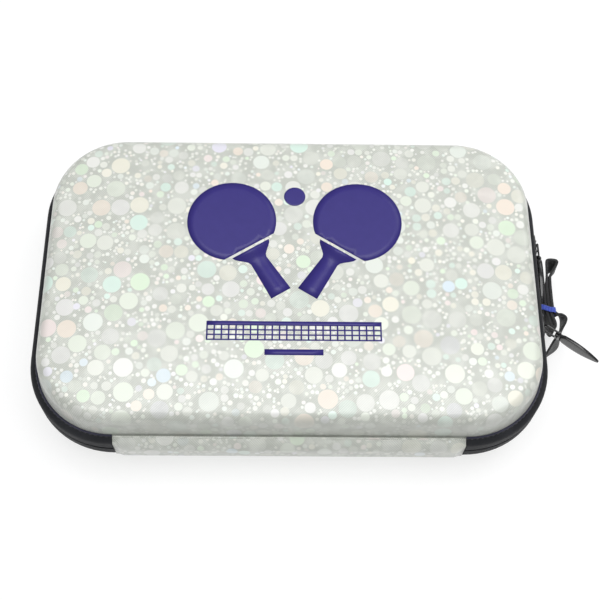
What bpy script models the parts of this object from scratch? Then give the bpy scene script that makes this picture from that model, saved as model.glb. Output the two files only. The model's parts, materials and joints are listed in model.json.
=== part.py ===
"""Hard paddle case: two moulded half shells, a zip all round three sides, a cloth spine along the fourth.

X runs along the case, +Y to its back, +X to the side with the zip sliders and the wrist strap, +Z up.
The origin is the middle of the flat underside. Run it with: blender --background --python part.py
"""

import math

import bmesh
import bpy
from mathutils import Matrix, Vector

MM = 0.001

# Whole case
CASE_LENGTH = 290 * MM  # over the zip tape
CASE_DEPTH = 190 * MM  # over the zip tape
CASE_HEIGHT = 60 * MM
CORNER_RADIUS = 48.3 * MM  # of the zip tape's outer face, seen from above
CORNER_STEPS = 8
CLEARANCE = 0.3 * MM  # between pieces that touch or are glued

# Half shells
WALL_INSET = 5.4 * MM  # from the zip tape's face in to the shell's wall
WALL_DRAFT = 1.35 * MM  # how much further in the wall is at its top
EDGE_FILLET = 7.3 * MM
FILLET_STEPS = 4
SHELL_THICKNESS = 3.2 * MM
LINING_THICKNESS = 0.8 * MM
FLANGE_THICKNESS = 3.0 * MM
LID_CROWN = 1.5 * MM
CROWN_RUN = 36 * MM  # how far in from the fillet the crown goes on rising
CROWN_STEPS = 3
SMALLEST_CORNER = 2 * MM

# Zip
BAND_HEIGHT = 20 * MM  # both tapes together
TAPE_THICKNESS = 0.8 * MM
TAPE_CHAMFER = 1.1 * MM
COIL_THICKNESS = 1.6 * MM
COIL_WIDTH = 2.5 * MM
COIL_EASE = 0.4 * MM
SLIDER_NECK = 0.8 * MM
ZIP_GAP = SLIDER_NECK + 2 * CLEARANCE  # between the two tapes

# Spine
SPINE_SETBACK = 1.0 * MM  # from the end of a corner's arc to the end of the spine's cover
SPINE_BULGE = 3.0 * MM
SPINE_THICKNESS = 0.9 * MM
SPINE_LAP = 0.2 * MM  # how far the spine's cover stands above the zip band
SPINE_SPLIT = 0.2 * MM  # from the middle plane to each half
GUSSET_THICKNESS = 0.6 * MM

# Inside the lid
POCKET_HEIGHT = 17 * MM  # of the mesh above the middle plane
POCKET_MOUTH_Y = 12 * MM
MESH_THICKNESS = 0.8 * MM
HEM_WIDTH = 7 * MM
HEM_THICKNESS = 1.4 * MM

# Inside the base
PAD_THICKNESS = 3.0 * MM
FOAM_THICKNESS = 18 * MM
BLADE_MARGIN = 7 * MM  # foam left beside the paddle's blade
END_MARGIN = 6 * MM  # foam left at each end of the paddle
HANDLE_SLOT_WIDTH = 31 * MM
BALL_WELL_RADIUS = 20.7 * MM
BALL_WELL_END = 24 * MM  # foam left between a ball well and the end of the foam
BALL_WELL_WEB = 4.5 * MM  # foam left between a ball well and the handle slot
HANDLE_STRAP_WIDTH = 25 * MM
HANDLE_STRAP_THICKNESS = 1.0 * MM
HANDLE_STRAP_LANDING = 13 * MM  # sewn down on each side of the slot
HANDLE_STRAP_OVERLAP = 16 * MM
HANDLE_STRAP_SPACING = 6 * MM  # from the ball wells to the strap

# Sliders and pulls
SLIDER_LENGTH = 14 * MM
SLIDER_NOSE = 9.2 * MM
SLIDER_TAIL = 6.6 * MM
SLIDER_PLATE = 1.2 * MM
SLIDER_INNER_LENGTH = 12 * MM
SLIDER_INNER_HEIGHT = 7.2 * MM
SLIDER_INNER_PLATE = 1.4 * MM
NECK_LENGTH = 3 * MM
BACK_SLIDER_SHARE = 6.7 / 36.4  # of the side's free length, left between its back corner and the back slider
PULLS_APART_SHARE = 10 / 36.4  # of it, left between the back pull's tip and the front slider
WIRE_RADIUS = 0.6 * MM
BAIL_SPAN = 8 * MM
BAIL_THICKNESS = 1.2 * MM
BAIL_WIDTH = 1.8 * MM
LINK_REACH = 9 * MM  # from the pivot to the link's far bar
LINK_HEIGHT = 7.2 * MM  # between the middles of the link's two long sides
LINK_CORNER = 1.4 * MM
TAB_LENGTH = 27 * MM
TAB_HEIGHT = 8.6 * MM
TAB_ROOT_HEIGHT = 4.8 * MM
TAB_THICKNESS = 2.0 * MM
KNUCKLE_WALL = 0.9 * MM
TAB_TIP_RADIUS = 1.5 * MM
BACK_PULL_ANGLE = -90  # degrees from +X, seen from above
FRONT_PULL_ANGLE = -37

# Wrist strap
STRAP_WIDTH = 13 * MM
STRAP_THICKNESS = 1.3 * MM
STRAP_DROP = 7 * MM  # from the middle plane down to the webbing's top edge
STRAP_SMOOTHING = 5
ANCHOR_LENGTH = 10 * MM
ANCHOR_Y = -34 * MM
ELASTIC_WIDTH = 4.5 * MM
ELASTIC_THICKNESS = 0.8 * MM
ELASTIC_Y = -4 * MM
# The webbing's folded route, as steps outward from the zip tape's face and along Y
STRAP_ROUTE = [
    (3.6, -34), (6.2, -31), (10.6, -24.5), (15.0, -17.5), (16.6, -12.6), (14.8, -9.4), (11.6, -8.6),
    (10.4, -5), (10.4, 6), (11.0, 14), (14.0, 20), (16.2, 24.2), (14.4, 27.0), (10.6, 25.6),
    (8.3, 21), (8.3, 6), (8.3, -8), (7.3, -10.2), (6.3, -8), (6.3, 6), (6.3, 19), (5.3, 21.2),
    (4.3, 19), (4.3, 6), (4.3, -9.5),
]

MIDDLE = CASE_HEIGHT / 2
BAND_HALF = BAND_HEIGHT / 2
TAPE_EDGE = ZIP_GAP / 2
FLANGE_TOP = BAND_HALF - TAPE_THICKNESS - CLEARANCE
RIM = FLANGE_TOP - FLANGE_THICKNESS
FLANGE_INSET = TAPE_THICKNESS + CLEARANCE
COIL_INSET = TAPE_THICKNESS + CLEARANCE
SPINE_LENGTH = CASE_LENGTH - 2 * (CORNER_RADIUS + SPINE_SETBACK)
LINING_INSET = SHELL_THICKNESS + CLEARANCE
CAVITY_INSET = WALL_INSET + WALL_DRAFT + LINING_INSET + LINING_THICKNESS + CLEARANCE
CAVITY_DEPTH = MIDDLE - LINING_INSET - LINING_THICKNESS - CLEARANCE
SIDE_X = CASE_LENGTH / 2  # the zip tape's face on the sliders' side
PIVOT_X = SIDE_X + CLEARANCE + SLIDER_PLATE + CLEARANCE + WIRE_RADIUS
SIDE_STRAIGHT = CASE_DEPTH - 2 * CORNER_RADIUS
PULL_REACH = LINK_REACH + TAB_LENGTH
SIDE_FREE = SIDE_STRAIGHT - 1.5 * SLIDER_LENGTH - PULL_REACH  # with both sliders and the back pull on the side
BACK_SLIDER_Y = SIDE_STRAIGHT / 2 - SIDE_FREE * BACK_SLIDER_SHARE - SLIDER_LENGTH / 2
FRONT_SLIDER_Y = BACK_SLIDER_Y - PULL_REACH - SIDE_FREE * PULLS_APART_SHARE - SLIDER_LENGTH / 2


def clear_scene():
    """Take out whatever the scene holds."""
    for thing in list(bpy.data.objects):
        bpy.data.objects.remove(thing, do_unlink=True)


def finish(name, color, roughness, metallic=0.0):
    """A plain material."""
    material = bpy.data.materials.new(name)
    material.use_nodes = True
    shader = material.node_tree.nodes["Principled BSDF"]
    shader.inputs["Base Color"].default_value = (*color, 1.0)
    shader.inputs["Roughness"].default_value = roughness
    shader.inputs["Metallic"].default_value = metallic
    return material


def add_object(name, data, material, angle=30):
    """Put a mesh or curve in the scene under its name, with its material."""
    thing = bpy.data.objects.new(name, data)
    bpy.context.scene.collection.objects.link(thing)
    data.materials.append(material)
    if isinstance(data, bpy.types.Mesh):
        data.shade_smooth()
        data.set_sharp_from_angle(angle=math.radians(angle))
    return thing


def mesh_from(name, bm):
    """Close a bmesh's work: outward faces, then a mesh."""
    bmesh.ops.recalc_face_normals(bm, faces=bm.faces)
    mesh = bpy.data.meshes.new(name)
    bm.to_mesh(mesh)
    bm.free()
    return mesh


def loft(name, sections):
    """A closed solid through rings of as many points each: walls between neighbours, the first and last capped."""
    bm = bmesh.new()
    rings = [[bm.verts.new(point) for point in section] for section in sections]
    for lower, upper in zip(rings, rings[1:]):
        join_rings(bm, lower, upper)
    for ring in (rings[0], rings[-1]):
        bm.faces.new(ring)
    return mesh_from(name, bm)


def join_rings(bm, lower, upper):
    """A wall of four-sided faces between two rings of points."""
    for index in range(len(lower)):
        bm.faces.new((lower[index - 1], lower[index], upper[index], upper[index - 1]))


def prism(name, points, depth):
    """A flat outline of 3D points, pulled along a vector into a solid."""
    bm = bmesh.new()
    face = bm.faces.new([bm.verts.new(point) for point in points])
    pulled = bmesh.ops.extrude_face_region(bm, geom=[face])["geom"]
    moved = [item for item in pulled if isinstance(item, bmesh.types.BMVert)]
    bmesh.ops.translate(bm, verts=moved, vec=depth)
    return mesh_from(name, bm)


def block(name, low, high):
    """A box between two corners."""
    bm = bmesh.new()
    bmesh.ops.create_cube(bm, size=1.0)
    size = Vector(high) - Vector(low)
    bmesh.ops.transform(
        bm, matrix=Matrix.Translation((Vector(low) + Vector(high)) / 2) @ Matrix.Diagonal((*size, 1)), verts=bm.verts
    )
    return mesh_from(name, bm)


def rod(name, place, radius, height, sides=32):
    """An upright cylinder centred on a point."""
    bm = bmesh.new()
    bmesh.ops.create_cone(
        bm, cap_ends=True, segments=sides, radius1=radius, radius2=radius, depth=height,
        matrix=Matrix.Translation(place),
    )
    return mesh_from(name, bm)


def combine(body, mesh, operation):
    """Cut a mesh out of a body, or join it on, with a Boolean."""
    tool = bpy.data.objects.new(body.name + "_tool", mesh)
    bpy.context.scene.collection.objects.link(tool)
    tool.parent = body.parent
    tool.matrix_parent_inverse = body.matrix_parent_inverse
    tool.matrix_basis = body.matrix_basis
    tool.hide_render = True
    tool.display_type = "WIRE"
    change = body.modifiers.new("combine", "BOOLEAN")
    change.operation = operation
    change.solver = "EXACT"
    change.object = tool


def outline(inset, height, opened=False):
    """The case's outline moved in by inset, at a height above the middle plane.

    Opened, it starts and ends where the spine's cover does.
    """
    half_x = CASE_LENGTH / 2 - inset
    half_y = CASE_DEPTH / 2 - inset
    radius = max(CORNER_RADIUS - inset, SMALLEST_CORNER)
    points = []
    for corner, (side_x, side_y) in enumerate([(1, -1), (1, 1), (-1, 1), (-1, -1)]):
        centre = Vector((side_x * (half_x - radius), side_y * (half_y - radius), MIDDLE + height))
        for step in range(CORNER_STEPS + 1):
            angle = math.radians(90 * (corner - 1 + step / CORNER_STEPS))
            points.append(centre + radius * Vector((math.cos(angle), math.sin(angle), 0)))
    if opened:
        end = SPINE_LENGTH / 2 + CLEARANCE
        points.insert(0, Vector((end, -half_y, MIDDLE + height)))
        points.append(Vector((-end, -half_y, MIDDLE + height)))
    return points


def wall_profile(offset, crown):
    """(inset, height) pairs up a half shell's wall, over its edge and in over its top.

    Offset is the depth under the outer surface.
    """
    fillet = EDGE_FILLET - offset
    top = MIDDLE - crown - offset
    wall_top = WALL_INSET + WALL_DRAFT + offset
    pairs = []
    for step in range(FILLET_STEPS + 1):
        angle = math.radians(90 * step / FILLET_STEPS)
        pairs.append((wall_top + fillet * (1 - math.cos(angle)), top - fillet + fillet * math.sin(angle)))
    if crown:
        edge = pairs[-1][0]
        for step in range(1, CROWN_STEPS + 1):
            share = step / CROWN_STEPS
            pairs.append((edge + CROWN_RUN * share, top + crown * math.sin(math.radians(90 * share))))
    return pairs


def tray(name, material, side, crown, offset, thickness, flanged):
    """One half shell or its lining: side is 1 for the lid and -1 for the base."""
    outer = wall_profile(offset, crown)
    inner = wall_profile(offset + thickness, crown)
    if flanged:
        foot = [
            (WALL_INSET + offset, FLANGE_TOP),
            (FLANGE_INSET, FLANGE_TOP),
            (FLANGE_INSET, RIM),
        ]
    else:
        foot = [(WALL_INSET + offset, RIM)]
    rings = outer[::-1] + foot + [(WALL_INSET + offset + thickness, RIM)] + inner
    return add_object(name, loft(name, [outline(inset, side * height) for inset, height in rings]), material)


def along_zip(name, material, side, profile):
    """A strip of constant section that follows the zip round three sides."""
    paths = [outline(inset, side * height, opened=True) for inset, height in profile]
    return add_object(name, loft(name, [list(section) for section in zip(*paths)]), material)


def along_spine(name, material, side, profile):
    """A strip of constant section along the front, between the ends of the zip."""
    start = Vector((-SPINE_LENGTH / 2, 0, MIDDLE))
    points = [start + Vector((0, inset - CASE_DEPTH / 2, side * height)) for inset, height in profile]
    return add_object(name, prism(name, points, Vector((SPINE_LENGTH, 0, 0))), material)


def tape_profile():
    """The zip tape: over the flange's top and down its outer edge."""
    return [
        (WALL_INSET - CLEARANCE, BAND_HALF),
        (TAPE_CHAMFER, BAND_HALF),
        (0, BAND_HALF - TAPE_CHAMFER),
        (0, TAPE_EDGE),
        (TAPE_THICKNESS, TAPE_EDGE),
        (TAPE_THICKNESS, BAND_HALF - TAPE_THICKNESS),
        (WALL_INSET - CLEARANCE, BAND_HALF - TAPE_THICKNESS),
    ]


def coil_profile():
    """The coil, inside the tape's free edge: flat on the tape, with its inner edges eased."""
    face = COIL_INSET + COIL_THICKNESS
    far_edge = TAPE_EDGE + COIL_WIDTH
    return [
        (COIL_INSET, TAPE_EDGE),
        (COIL_INSET, far_edge),
        (face - COIL_EASE, far_edge),
        (face, far_edge - COIL_EASE),
        (face, TAPE_EDGE + COIL_EASE),
        (face - COIL_EASE, TAPE_EDGE),
    ]


def cover_profile():
    """Half of the spine's outer cover: from the shell's wall, out and round to the middle plane."""
    top = BAND_HALF + SPINE_LAP
    shoulder = top - SPINE_BULGE * 0.6
    inner = SPINE_THICKNESS - SPINE_BULGE
    return [
        (WALL_INSET - CLEARANCE, top),
        (0, top),
        (-SPINE_BULGE * 0.7, shoulder),
        (-SPINE_BULGE, shoulder - SPINE_BULGE),
        (-SPINE_BULGE, SPINE_SPLIT),
        (inner, SPINE_SPLIT),
        (inner, shoulder - SPINE_BULGE),
        (SPINE_THICKNESS - SPINE_BULGE * 0.7, shoulder - SPINE_THICKNESS / 2),
        (SPINE_THICKNESS / 2, top - SPINE_THICKNESS),
        (WALL_INSET - CLEARANCE, top - SPINE_THICKNESS),
    ]


def gusset_profile():
    """Half of the inner cloth that joins the two rims behind the cover."""
    near = FLANGE_INSET + CLEARANCE
    return [
        (near, SPINE_SPLIT),
        (near, RIM - CLEARANCE),
        (near + GUSSET_THICKNESS, RIM - CLEARANCE),
        (near + GUSSET_THICKNESS, SPINE_SPLIT),
    ]


def half_case(name, side, crown, finishes):
    """The pieces that both halves have."""
    tray(name + "_shell", finishes["pearl cloth"], side, crown, 0, SHELL_THICKNESS, True)
    tray(name + "_lining", finishes["lining"], side, crown, LINING_INSET, LINING_THICKNESS, False)
    along_zip(name + "_zip_tape", finishes["tape"], side, tape_profile())
    along_zip(name + "_zip_coil", finishes["coil"], side, coil_profile())
    along_spine(name + "_spine_cover", finishes["pearl cloth"], side, cover_profile())
    along_spine(name + "_spine_gusset", finishes["lining"], side, gusset_profile())


def lid_pocket(finishes):
    """The mesh pocket across the front half of the lid, and the elastic hem along its mouth."""
    sections = [outline(CAVITY_INSET, POCKET_HEIGHT), outline(CAVITY_INSET, POCKET_HEIGHT + MESH_THICKNESS)]
    bm = bmesh.new()
    bm.from_mesh(loft("panel", sections))
    cut = bmesh.ops.bisect_plane(
        bm, geom=bm.verts[:] + bm.edges[:] + bm.faces[:], plane_co=(0, POCKET_MOUTH_Y, 0),
        plane_no=(0, 1, 0), clear_outer=True,
    )
    edges = [item for item in cut["geom_cut"] if isinstance(item, bmesh.types.BMEdge)]
    bmesh.ops.contextual_create(bm, geom=edges)
    add_object("lid_mesh_pocket", mesh_from("lid_mesh_pocket", bm), finishes["mesh"])
    half = CASE_LENGTH / 2 - CAVITY_INSET
    low = (-half, POCKET_MOUTH_Y + CLEARANCE, MIDDLE + POCKET_HEIGHT)
    high = (half, POCKET_MOUTH_Y + CLEARANCE + HEM_WIDTH, MIDDLE + POCKET_HEIGHT + HEM_THICKNESS)
    add_object("lid_pocket_hem", block("lid_pocket_hem", low, high), finishes["tape"])


def base_insert(finishes):
    """The pad on the base's floor, and the foam above it, cut out for a paddle and two balls."""
    floor = -CAVITY_DEPTH
    foam_low = floor + PAD_THICKNESS + CLEARANCE
    foam_high = foam_low + FOAM_THICKNESS
    pad_inset = CAVITY_INSET + EDGE_FILLET - LINING_INSET - LINING_THICKNESS
    pad = loft("pad", [outline(pad_inset, floor), outline(pad_inset, floor + PAD_THICKNESS)])
    add_object("base_floor_pad", pad, finishes["foam"])
    block_mesh = loft("foam", [outline(CAVITY_INSET, foam_low), outline(CAVITY_INSET, foam_high)])
    foam = add_object("paddle_foam", block_mesh, finishes["foam"])

    half_x = CASE_LENGTH / 2 - CAVITY_INSET
    half_y = CASE_DEPTH / 2 - CAVITY_INSET
    middle = MIDDLE + (foam_low + foam_high) / 2
    cut_height = FOAM_THICKNESS * 1.5
    blade = half_y - BLADE_MARGIN
    blade_x = END_MARGIN + blade - half_x
    combine(foam, rod("blade", (blade_x, 0, middle), blade, cut_height, 64), "DIFFERENCE")
    slot_low = (blade_x, -HANDLE_SLOT_WIDTH / 2, middle - cut_height / 2)
    slot_high = (half_x - END_MARGIN, HANDLE_SLOT_WIDTH / 2, middle + cut_height / 2)
    combine(foam, block("slot", slot_low, slot_high), "DIFFERENCE")
    well_x = half_x - BALL_WELL_END - BALL_WELL_RADIUS
    well_y = HANDLE_SLOT_WIDTH / 2 + BALL_WELL_WEB + BALL_WELL_RADIUS
    for side in (-1, 1):
        well = rod("well", (well_x, side * well_y, middle), BALL_WELL_RADIUS, cut_height)
        combine(foam, well, "DIFFERENCE")
    handle_strap(finishes, well_x - BALL_WELL_RADIUS - HANDLE_STRAP_SPACING, MIDDLE + foam_high)


def handle_strap(finishes, x_high, foam_top):
    """Two webbing ends that meet over the paddle's handle, hook over loop."""
    x_low = x_high - HANDLE_STRAP_WIDTH
    reach = HANDLE_SLOT_WIDTH / 2 + HANDLE_STRAP_LANDING
    low = foam_top + CLEARANCE
    loop_end = block(
        "loop", (x_low, -reach, low), (x_high, HANDLE_STRAP_OVERLAP / 2, low + HANDLE_STRAP_THICKNESS)
    )
    add_object("handle_strap_loop_end", loop_end, finishes["webbing"])
    upper = low + HANDLE_STRAP_THICKNESS + CLEARANCE
    top = upper + HANDLE_STRAP_THICKNESS
    drop = HANDLE_STRAP_OVERLAP / 2 + CLEARANCE + HANDLE_STRAP_THICKNESS
    points = [
        (x_low, reach, low), (x_low, reach, low + HANDLE_STRAP_THICKNESS),
        (x_low, drop + HANDLE_STRAP_THICKNESS, top), (x_low, -HANDLE_STRAP_OVERLAP / 2, top),
        (x_low, -HANDLE_STRAP_OVERLAP / 2, upper), (x_low, HANDLE_STRAP_OVERLAP / 2 + CLEARANCE, upper),
        (x_low, drop, low),
    ]
    hook_end = prism("hook", points, Vector((HANDLE_STRAP_WIDTH, 0, 0)))
    add_object("handle_strap_hook_end", hook_end, finishes["webbing"])


def pivot(name, x, y, angle):
    """An empty on an upright axis, turned to face a pull's direction."""
    empty = bpy.data.objects.new(name, None)
    empty.location = (x, y, MIDDLE)
    empty.rotation_euler = (0, 0, math.radians(angle))
    bpy.context.scene.collection.objects.link(empty)
    return empty


def slider(name, y, nose, finishes):
    """A slider: a plate outside the tape with its bail, a neck between the coils, a plate inside."""
    back = CLEARANCE
    front = CLEARANCE + SLIDER_PLATE
    half = SLIDER_LENGTH / 2
    side_view = [
        (nose * -half, SLIDER_TAIL / 2), (nose * 0.2 * half, SLIDER_NOSE / 2), (nose * 0.8 * half, SLIDER_NOSE / 2),
        (nose * half, SLIDER_TAIL / 2), (nose * half, -SLIDER_TAIL / 2), (nose * 0.8 * half, -SLIDER_NOSE / 2),
        (nose * 0.2 * half, -SLIDER_NOSE / 2), (nose * -half, -SLIDER_TAIL / 2),
    ]
    plate = prism(name, [(back, along, up) for along, up in side_view], Vector((SLIDER_PLATE, 0, 0)))
    body = add_object(name, plate, finishes["black metal"])
    body.location = (SIDE_X, y, MIDDLE)

    inner_face = -(COIL_INSET + COIL_THICKNESS + CLEARANCE)
    sunk = SLIDER_PLATE / 2
    neck_low = (inner_face - SLIDER_INNER_PLATE / 2, -NECK_LENGTH / 2, -SLIDER_NECK / 2)
    combine(body, block("neck", neck_low, (back + sunk, NECK_LENGTH / 2, SLIDER_NECK / 2)), "UNION")
    inner_low = (inner_face - SLIDER_INNER_PLATE, -SLIDER_INNER_LENGTH / 2, -SLIDER_INNER_HEIGHT / 2)
    inner_high = (inner_face, SLIDER_INNER_LENGTH / 2, SLIDER_INNER_HEIGHT / 2)
    combine(body, block("inner", inner_low, inner_high), "UNION")

    under = front + 2 * CLEARANCE + 2 * WIRE_RADIUS
    over = under + BAIL_THICKNESS
    outer, hollow = BAIL_SPAN / 2, BAIL_SPAN / 2 - BAIL_THICKNESS
    arch = [
        (front - sunk, -outer), (under + BAIL_THICKNESS * 0.3, -outer), (over, -hollow), (over, hollow),
        (under + BAIL_THICKNESS * 0.3, outer), (front - sunk, outer), (front - sunk, hollow),
        (under, hollow), (under, -hollow), (front - sunk, -hollow),
    ]
    bail = prism("bail", [(out, along, -BAIL_WIDTH / 2) for out, along in arch], Vector((0, 0, BAIL_WIDTH)))
    combine(body, bail, "UNION")


def wire_loop(name, material):
    """A closed rectangle of wire with round corners, upright, from the pivot outward along X."""
    half = LINK_HEIGHT / 2
    points = []
    for corner, (x, z) in enumerate([(LINK_REACH, -half), (LINK_REACH, half), (0, half), (0, -half)]):
        centre_x = x - LINK_CORNER if x else LINK_CORNER
        centre_z = math.copysign(half - LINK_CORNER, z)
        for step in range(4):
            angle = math.radians(90 * (corner - 1 + step / 3))
            points.append((centre_x + LINK_CORNER * math.cos(angle), 0, centre_z + LINK_CORNER * math.sin(angle)))
    curve = bpy.data.curves.new(name, "CURVE")
    curve.dimensions = "3D"
    curve.bevel_depth = WIRE_RADIUS
    curve.bevel_resolution = 2
    spline = curve.splines.new("POLY")
    spline.points.add(len(points) - 1)
    spline.use_cyclic_u = True
    for spot, point in zip(spline.points, points):
        spot.co = (*point, 1)
    return add_object(name, curve, material)


def leaf_outline():
    """The tab's side view: a short root, then a leaf that swells and narrows to a round tip."""
    root = WIRE_RADIUS + CLEARANCE + KNUCKLE_WALL / 2
    upper = [(-root, TAB_ROOT_HEIGHT / 2), (root * 1.6, TAB_ROOT_HEIGHT / 2)]
    steps = 6
    for step in range(steps + 1):
        share = step / steps
        along = root * 2.4 + (TAB_LENGTH - TAB_TIP_RADIUS - root * 2.4) * share
        swell = math.sin(math.pi * (0.24 + 0.76 * share))
        upper.append((along, TAB_TIP_RADIUS + (TAB_HEIGHT / 2 - TAB_TIP_RADIUS) * max(swell, 0)))
    tip = [(TAB_LENGTH, TAB_TIP_RADIUS * 0.45)]
    upper += tip
    return upper + [(along, -up) for along, up in reversed(upper)]


def pull(name, y, angle, finishes):
    """A slider's wire link, on the slider's pivot, and the tab on the link's far bar."""
    link_pivot = pivot(name + "_link_pivot", PIVOT_X, y, angle)
    link = wire_loop(name + "_pull_link", finishes["black metal"])
    link.parent = link_pivot
    tab_pivot = pivot(name + "_tab_pivot", LINK_REACH, 0, 0)
    tab_pivot.location = (LINK_REACH, 0, 0)
    tab_pivot.parent = link_pivot
    points = [(along, -TAB_THICKNESS / 2, up) for along, up in leaf_outline()]
    tab = add_object(name + "_pull_tab", prism(name, points, Vector((0, TAB_THICKNESS, 0))), finishes["black metal"])
    tab.parent = tab_pivot
    bore = WIRE_RADIUS + CLEARANCE
    combine(tab, rod("knuckle", (0, 0, 0), bore + KNUCKLE_WALL, TAB_ROOT_HEIGHT, 16), "UNION")
    combine(tab, rod("bore", (0, 0, 0), bore, TAB_HEIGHT, 12), "DIFFERENCE")


def smooth_route(points, steps):
    """Points on a smooth curve through the given ones."""
    route = []
    count = len(points)
    for index in range(count - 1):
        before = points[max(index - 1, 0)]
        start, end = points[index], points[index + 1]
        after = points[min(index + 2, count - 1)]
        for step in range(steps):
            t = step / steps
            pull_in = (end - before) * 0.5
            pull_out = (after - start) * 0.5
            route.append(
                start * (2 * t**3 - 3 * t**2 + 1) + end * (3 * t**2 - 2 * t**3)
                + pull_in * (t**3 - 2 * t**2 + t) + pull_out * (t**3 - t**2)
            )
    route.append(points[-1])
    return route


def wrist_strap(finishes):
    """The wrist strap's webbing, folded up and held by an elastic band, and the tab it is sewn to."""
    top = -STRAP_DROP
    middle = top - STRAP_WIDTH / 2
    low = middle - STRAP_WIDTH / 2
    strap_pivot = pivot("wrist_strap_pivot", SIDE_X + STRAP_ROUTE[0][0] * MM, STRAP_ROUTE[0][1] * MM, 0)
    curve = bpy.data.curves.new("wrist_strap", "CURVE")
    curve.dimensions = "2D"
    curve.fill_mode = "NONE"
    curve.extrude = STRAP_WIDTH / 2
    start = Vector((*STRAP_ROUTE[0], 0)) * MM
    route = smooth_route([Vector((*spot, 0)) * MM - start for spot in STRAP_ROUTE], STRAP_SMOOTHING)
    spline = curve.splines.new("POLY")
    spline.points.add(len(route) - 1)
    for spot, point in zip(spline.points, route):
        spot.co = (*point, 1)
    strap = add_object("wrist_strap", curve, finishes["webbing"])
    strap.parent = strap_pivot
    strap.location.z = middle
    thicken = strap.modifiers.new("thickness", "SOLIDIFY")
    thicken.thickness = STRAP_THICKNESS
    thicken.offset = 0

    tab_low = (SIDE_X + CLEARANCE, ANCHOR_Y - ANCHOR_LENGTH / 2, MIDDLE + low)
    tab_high = (SIDE_X + CLEARANCE + STRAP_THICKNESS, ANCHOR_Y + ANCHOR_LENGTH / 2, MIDDLE + top)
    add_object("strap_anchor_tab", block("strap_anchor_tab", tab_low, tab_high), finishes["webbing"])
    elastic_band(middle, strap_pivot, finishes)


def elastic_band(middle, strap_pivot, finishes):
    """The elastic band round the folded webbing."""
    reach = [out * MM for out, along in STRAP_ROUTE if abs(along * MM - ELASTIC_Y) < ELASTIC_WIDTH * 3]
    slack = STRAP_THICKNESS / 2 + CLEARANCE
    bundle = [out for out in reach if out < 11 * MM]
    low = Vector((min(bundle) - slack, 0, middle - STRAP_WIDTH / 2 - CLEARANCE))
    high = Vector((max(bundle) + slack, 0, middle + STRAP_WIDTH / 2 + CLEARANCE))
    wall = Vector((ELASTIC_THICKNESS, 0, ELASTIC_THICKNESS))
    start = Vector((STRAP_ROUTE[0][0] * MM, STRAP_ROUTE[0][1] * MM, 0))
    sections = []
    for along, grow in [(0, 1), (1, 1), (1, 0), (0, 0)]:
        corner_a, corner_b = low - wall * grow, high + wall * grow
        y = ELASTIC_Y + (along - 0.5) * ELASTIC_WIDTH
        ring = [(corner_a.x, corner_a.z), (corner_b.x, corner_a.z), (corner_b.x, corner_b.z), (corner_a.x, corner_b.z)]
        sections.append([Vector((x, y, z)) - start for x, z in ring])
    bm = bmesh.new()
    rings = [[bm.verts.new(point) for point in section] for section in sections]
    for first, second in zip(rings, rings[1:] + rings[:1]):
        join_rings(bm, first, second)
    band = add_object("strap_elastic_band", mesh_from("strap_elastic_band", bm), finishes["elastic"])
    band.parent = strap_pivot


def main():
    clear_scene()
    finishes = {
        "pearl cloth": finish("pearl_cloth", (0.80, 0.82, 0.74), 0.35),
        "lining": finish("lining_cloth", (0.03, 0.03, 0.035), 0.9),
        "tape": finish("zip_tape", (0.015, 0.016, 0.02), 0.7),
        "coil": finish("zip_coil", (0.02, 0.02, 0.025), 0.4),
        "mesh": finish("mesh_net", (0.03, 0.03, 0.03), 0.8),
        "foam": finish("grey_foam", (0.05, 0.05, 0.06), 0.95),
        "webbing": finish("webbing", (0.015, 0.015, 0.015), 0.8),
        "elastic": finish("blue_elastic", (0.03, 0.07, 0.55), 0.6),
        "black metal": finish("black_metal", (0.02, 0.02, 0.02), 0.3, 0.8),
    }
    half_case("lid", 1, LID_CROWN, finishes)
    half_case("base", -1, 0, finishes)
    lid_pocket(finishes)
    base_insert(finishes)
    slider("back_slider", BACK_SLIDER_Y, -1, finishes)
    slider("front_slider", FRONT_SLIDER_Y, 1, finishes)
    pull("back", BACK_SLIDER_Y, BACK_PULL_ANGLE, finishes)
    pull("front", FRONT_SLIDER_Y, FRONT_PULL_ANGLE, finishes)
    wrist_strap(finishes)


main()
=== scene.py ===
"""The looks of a hard paddle case: pearl cloth on moulded shells, zip, spine, pulls, strap and insides.

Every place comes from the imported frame. Shapes are drawn in half coordinates, where the height is measured
from the middle plane between the two halves, and are then turned up for the lid or down for the base.
"""

import json
import logging
import math
from dataclasses import dataclass
from enum import Enum
from typing import Callable, Iterable, Iterator, Sequence

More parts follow.
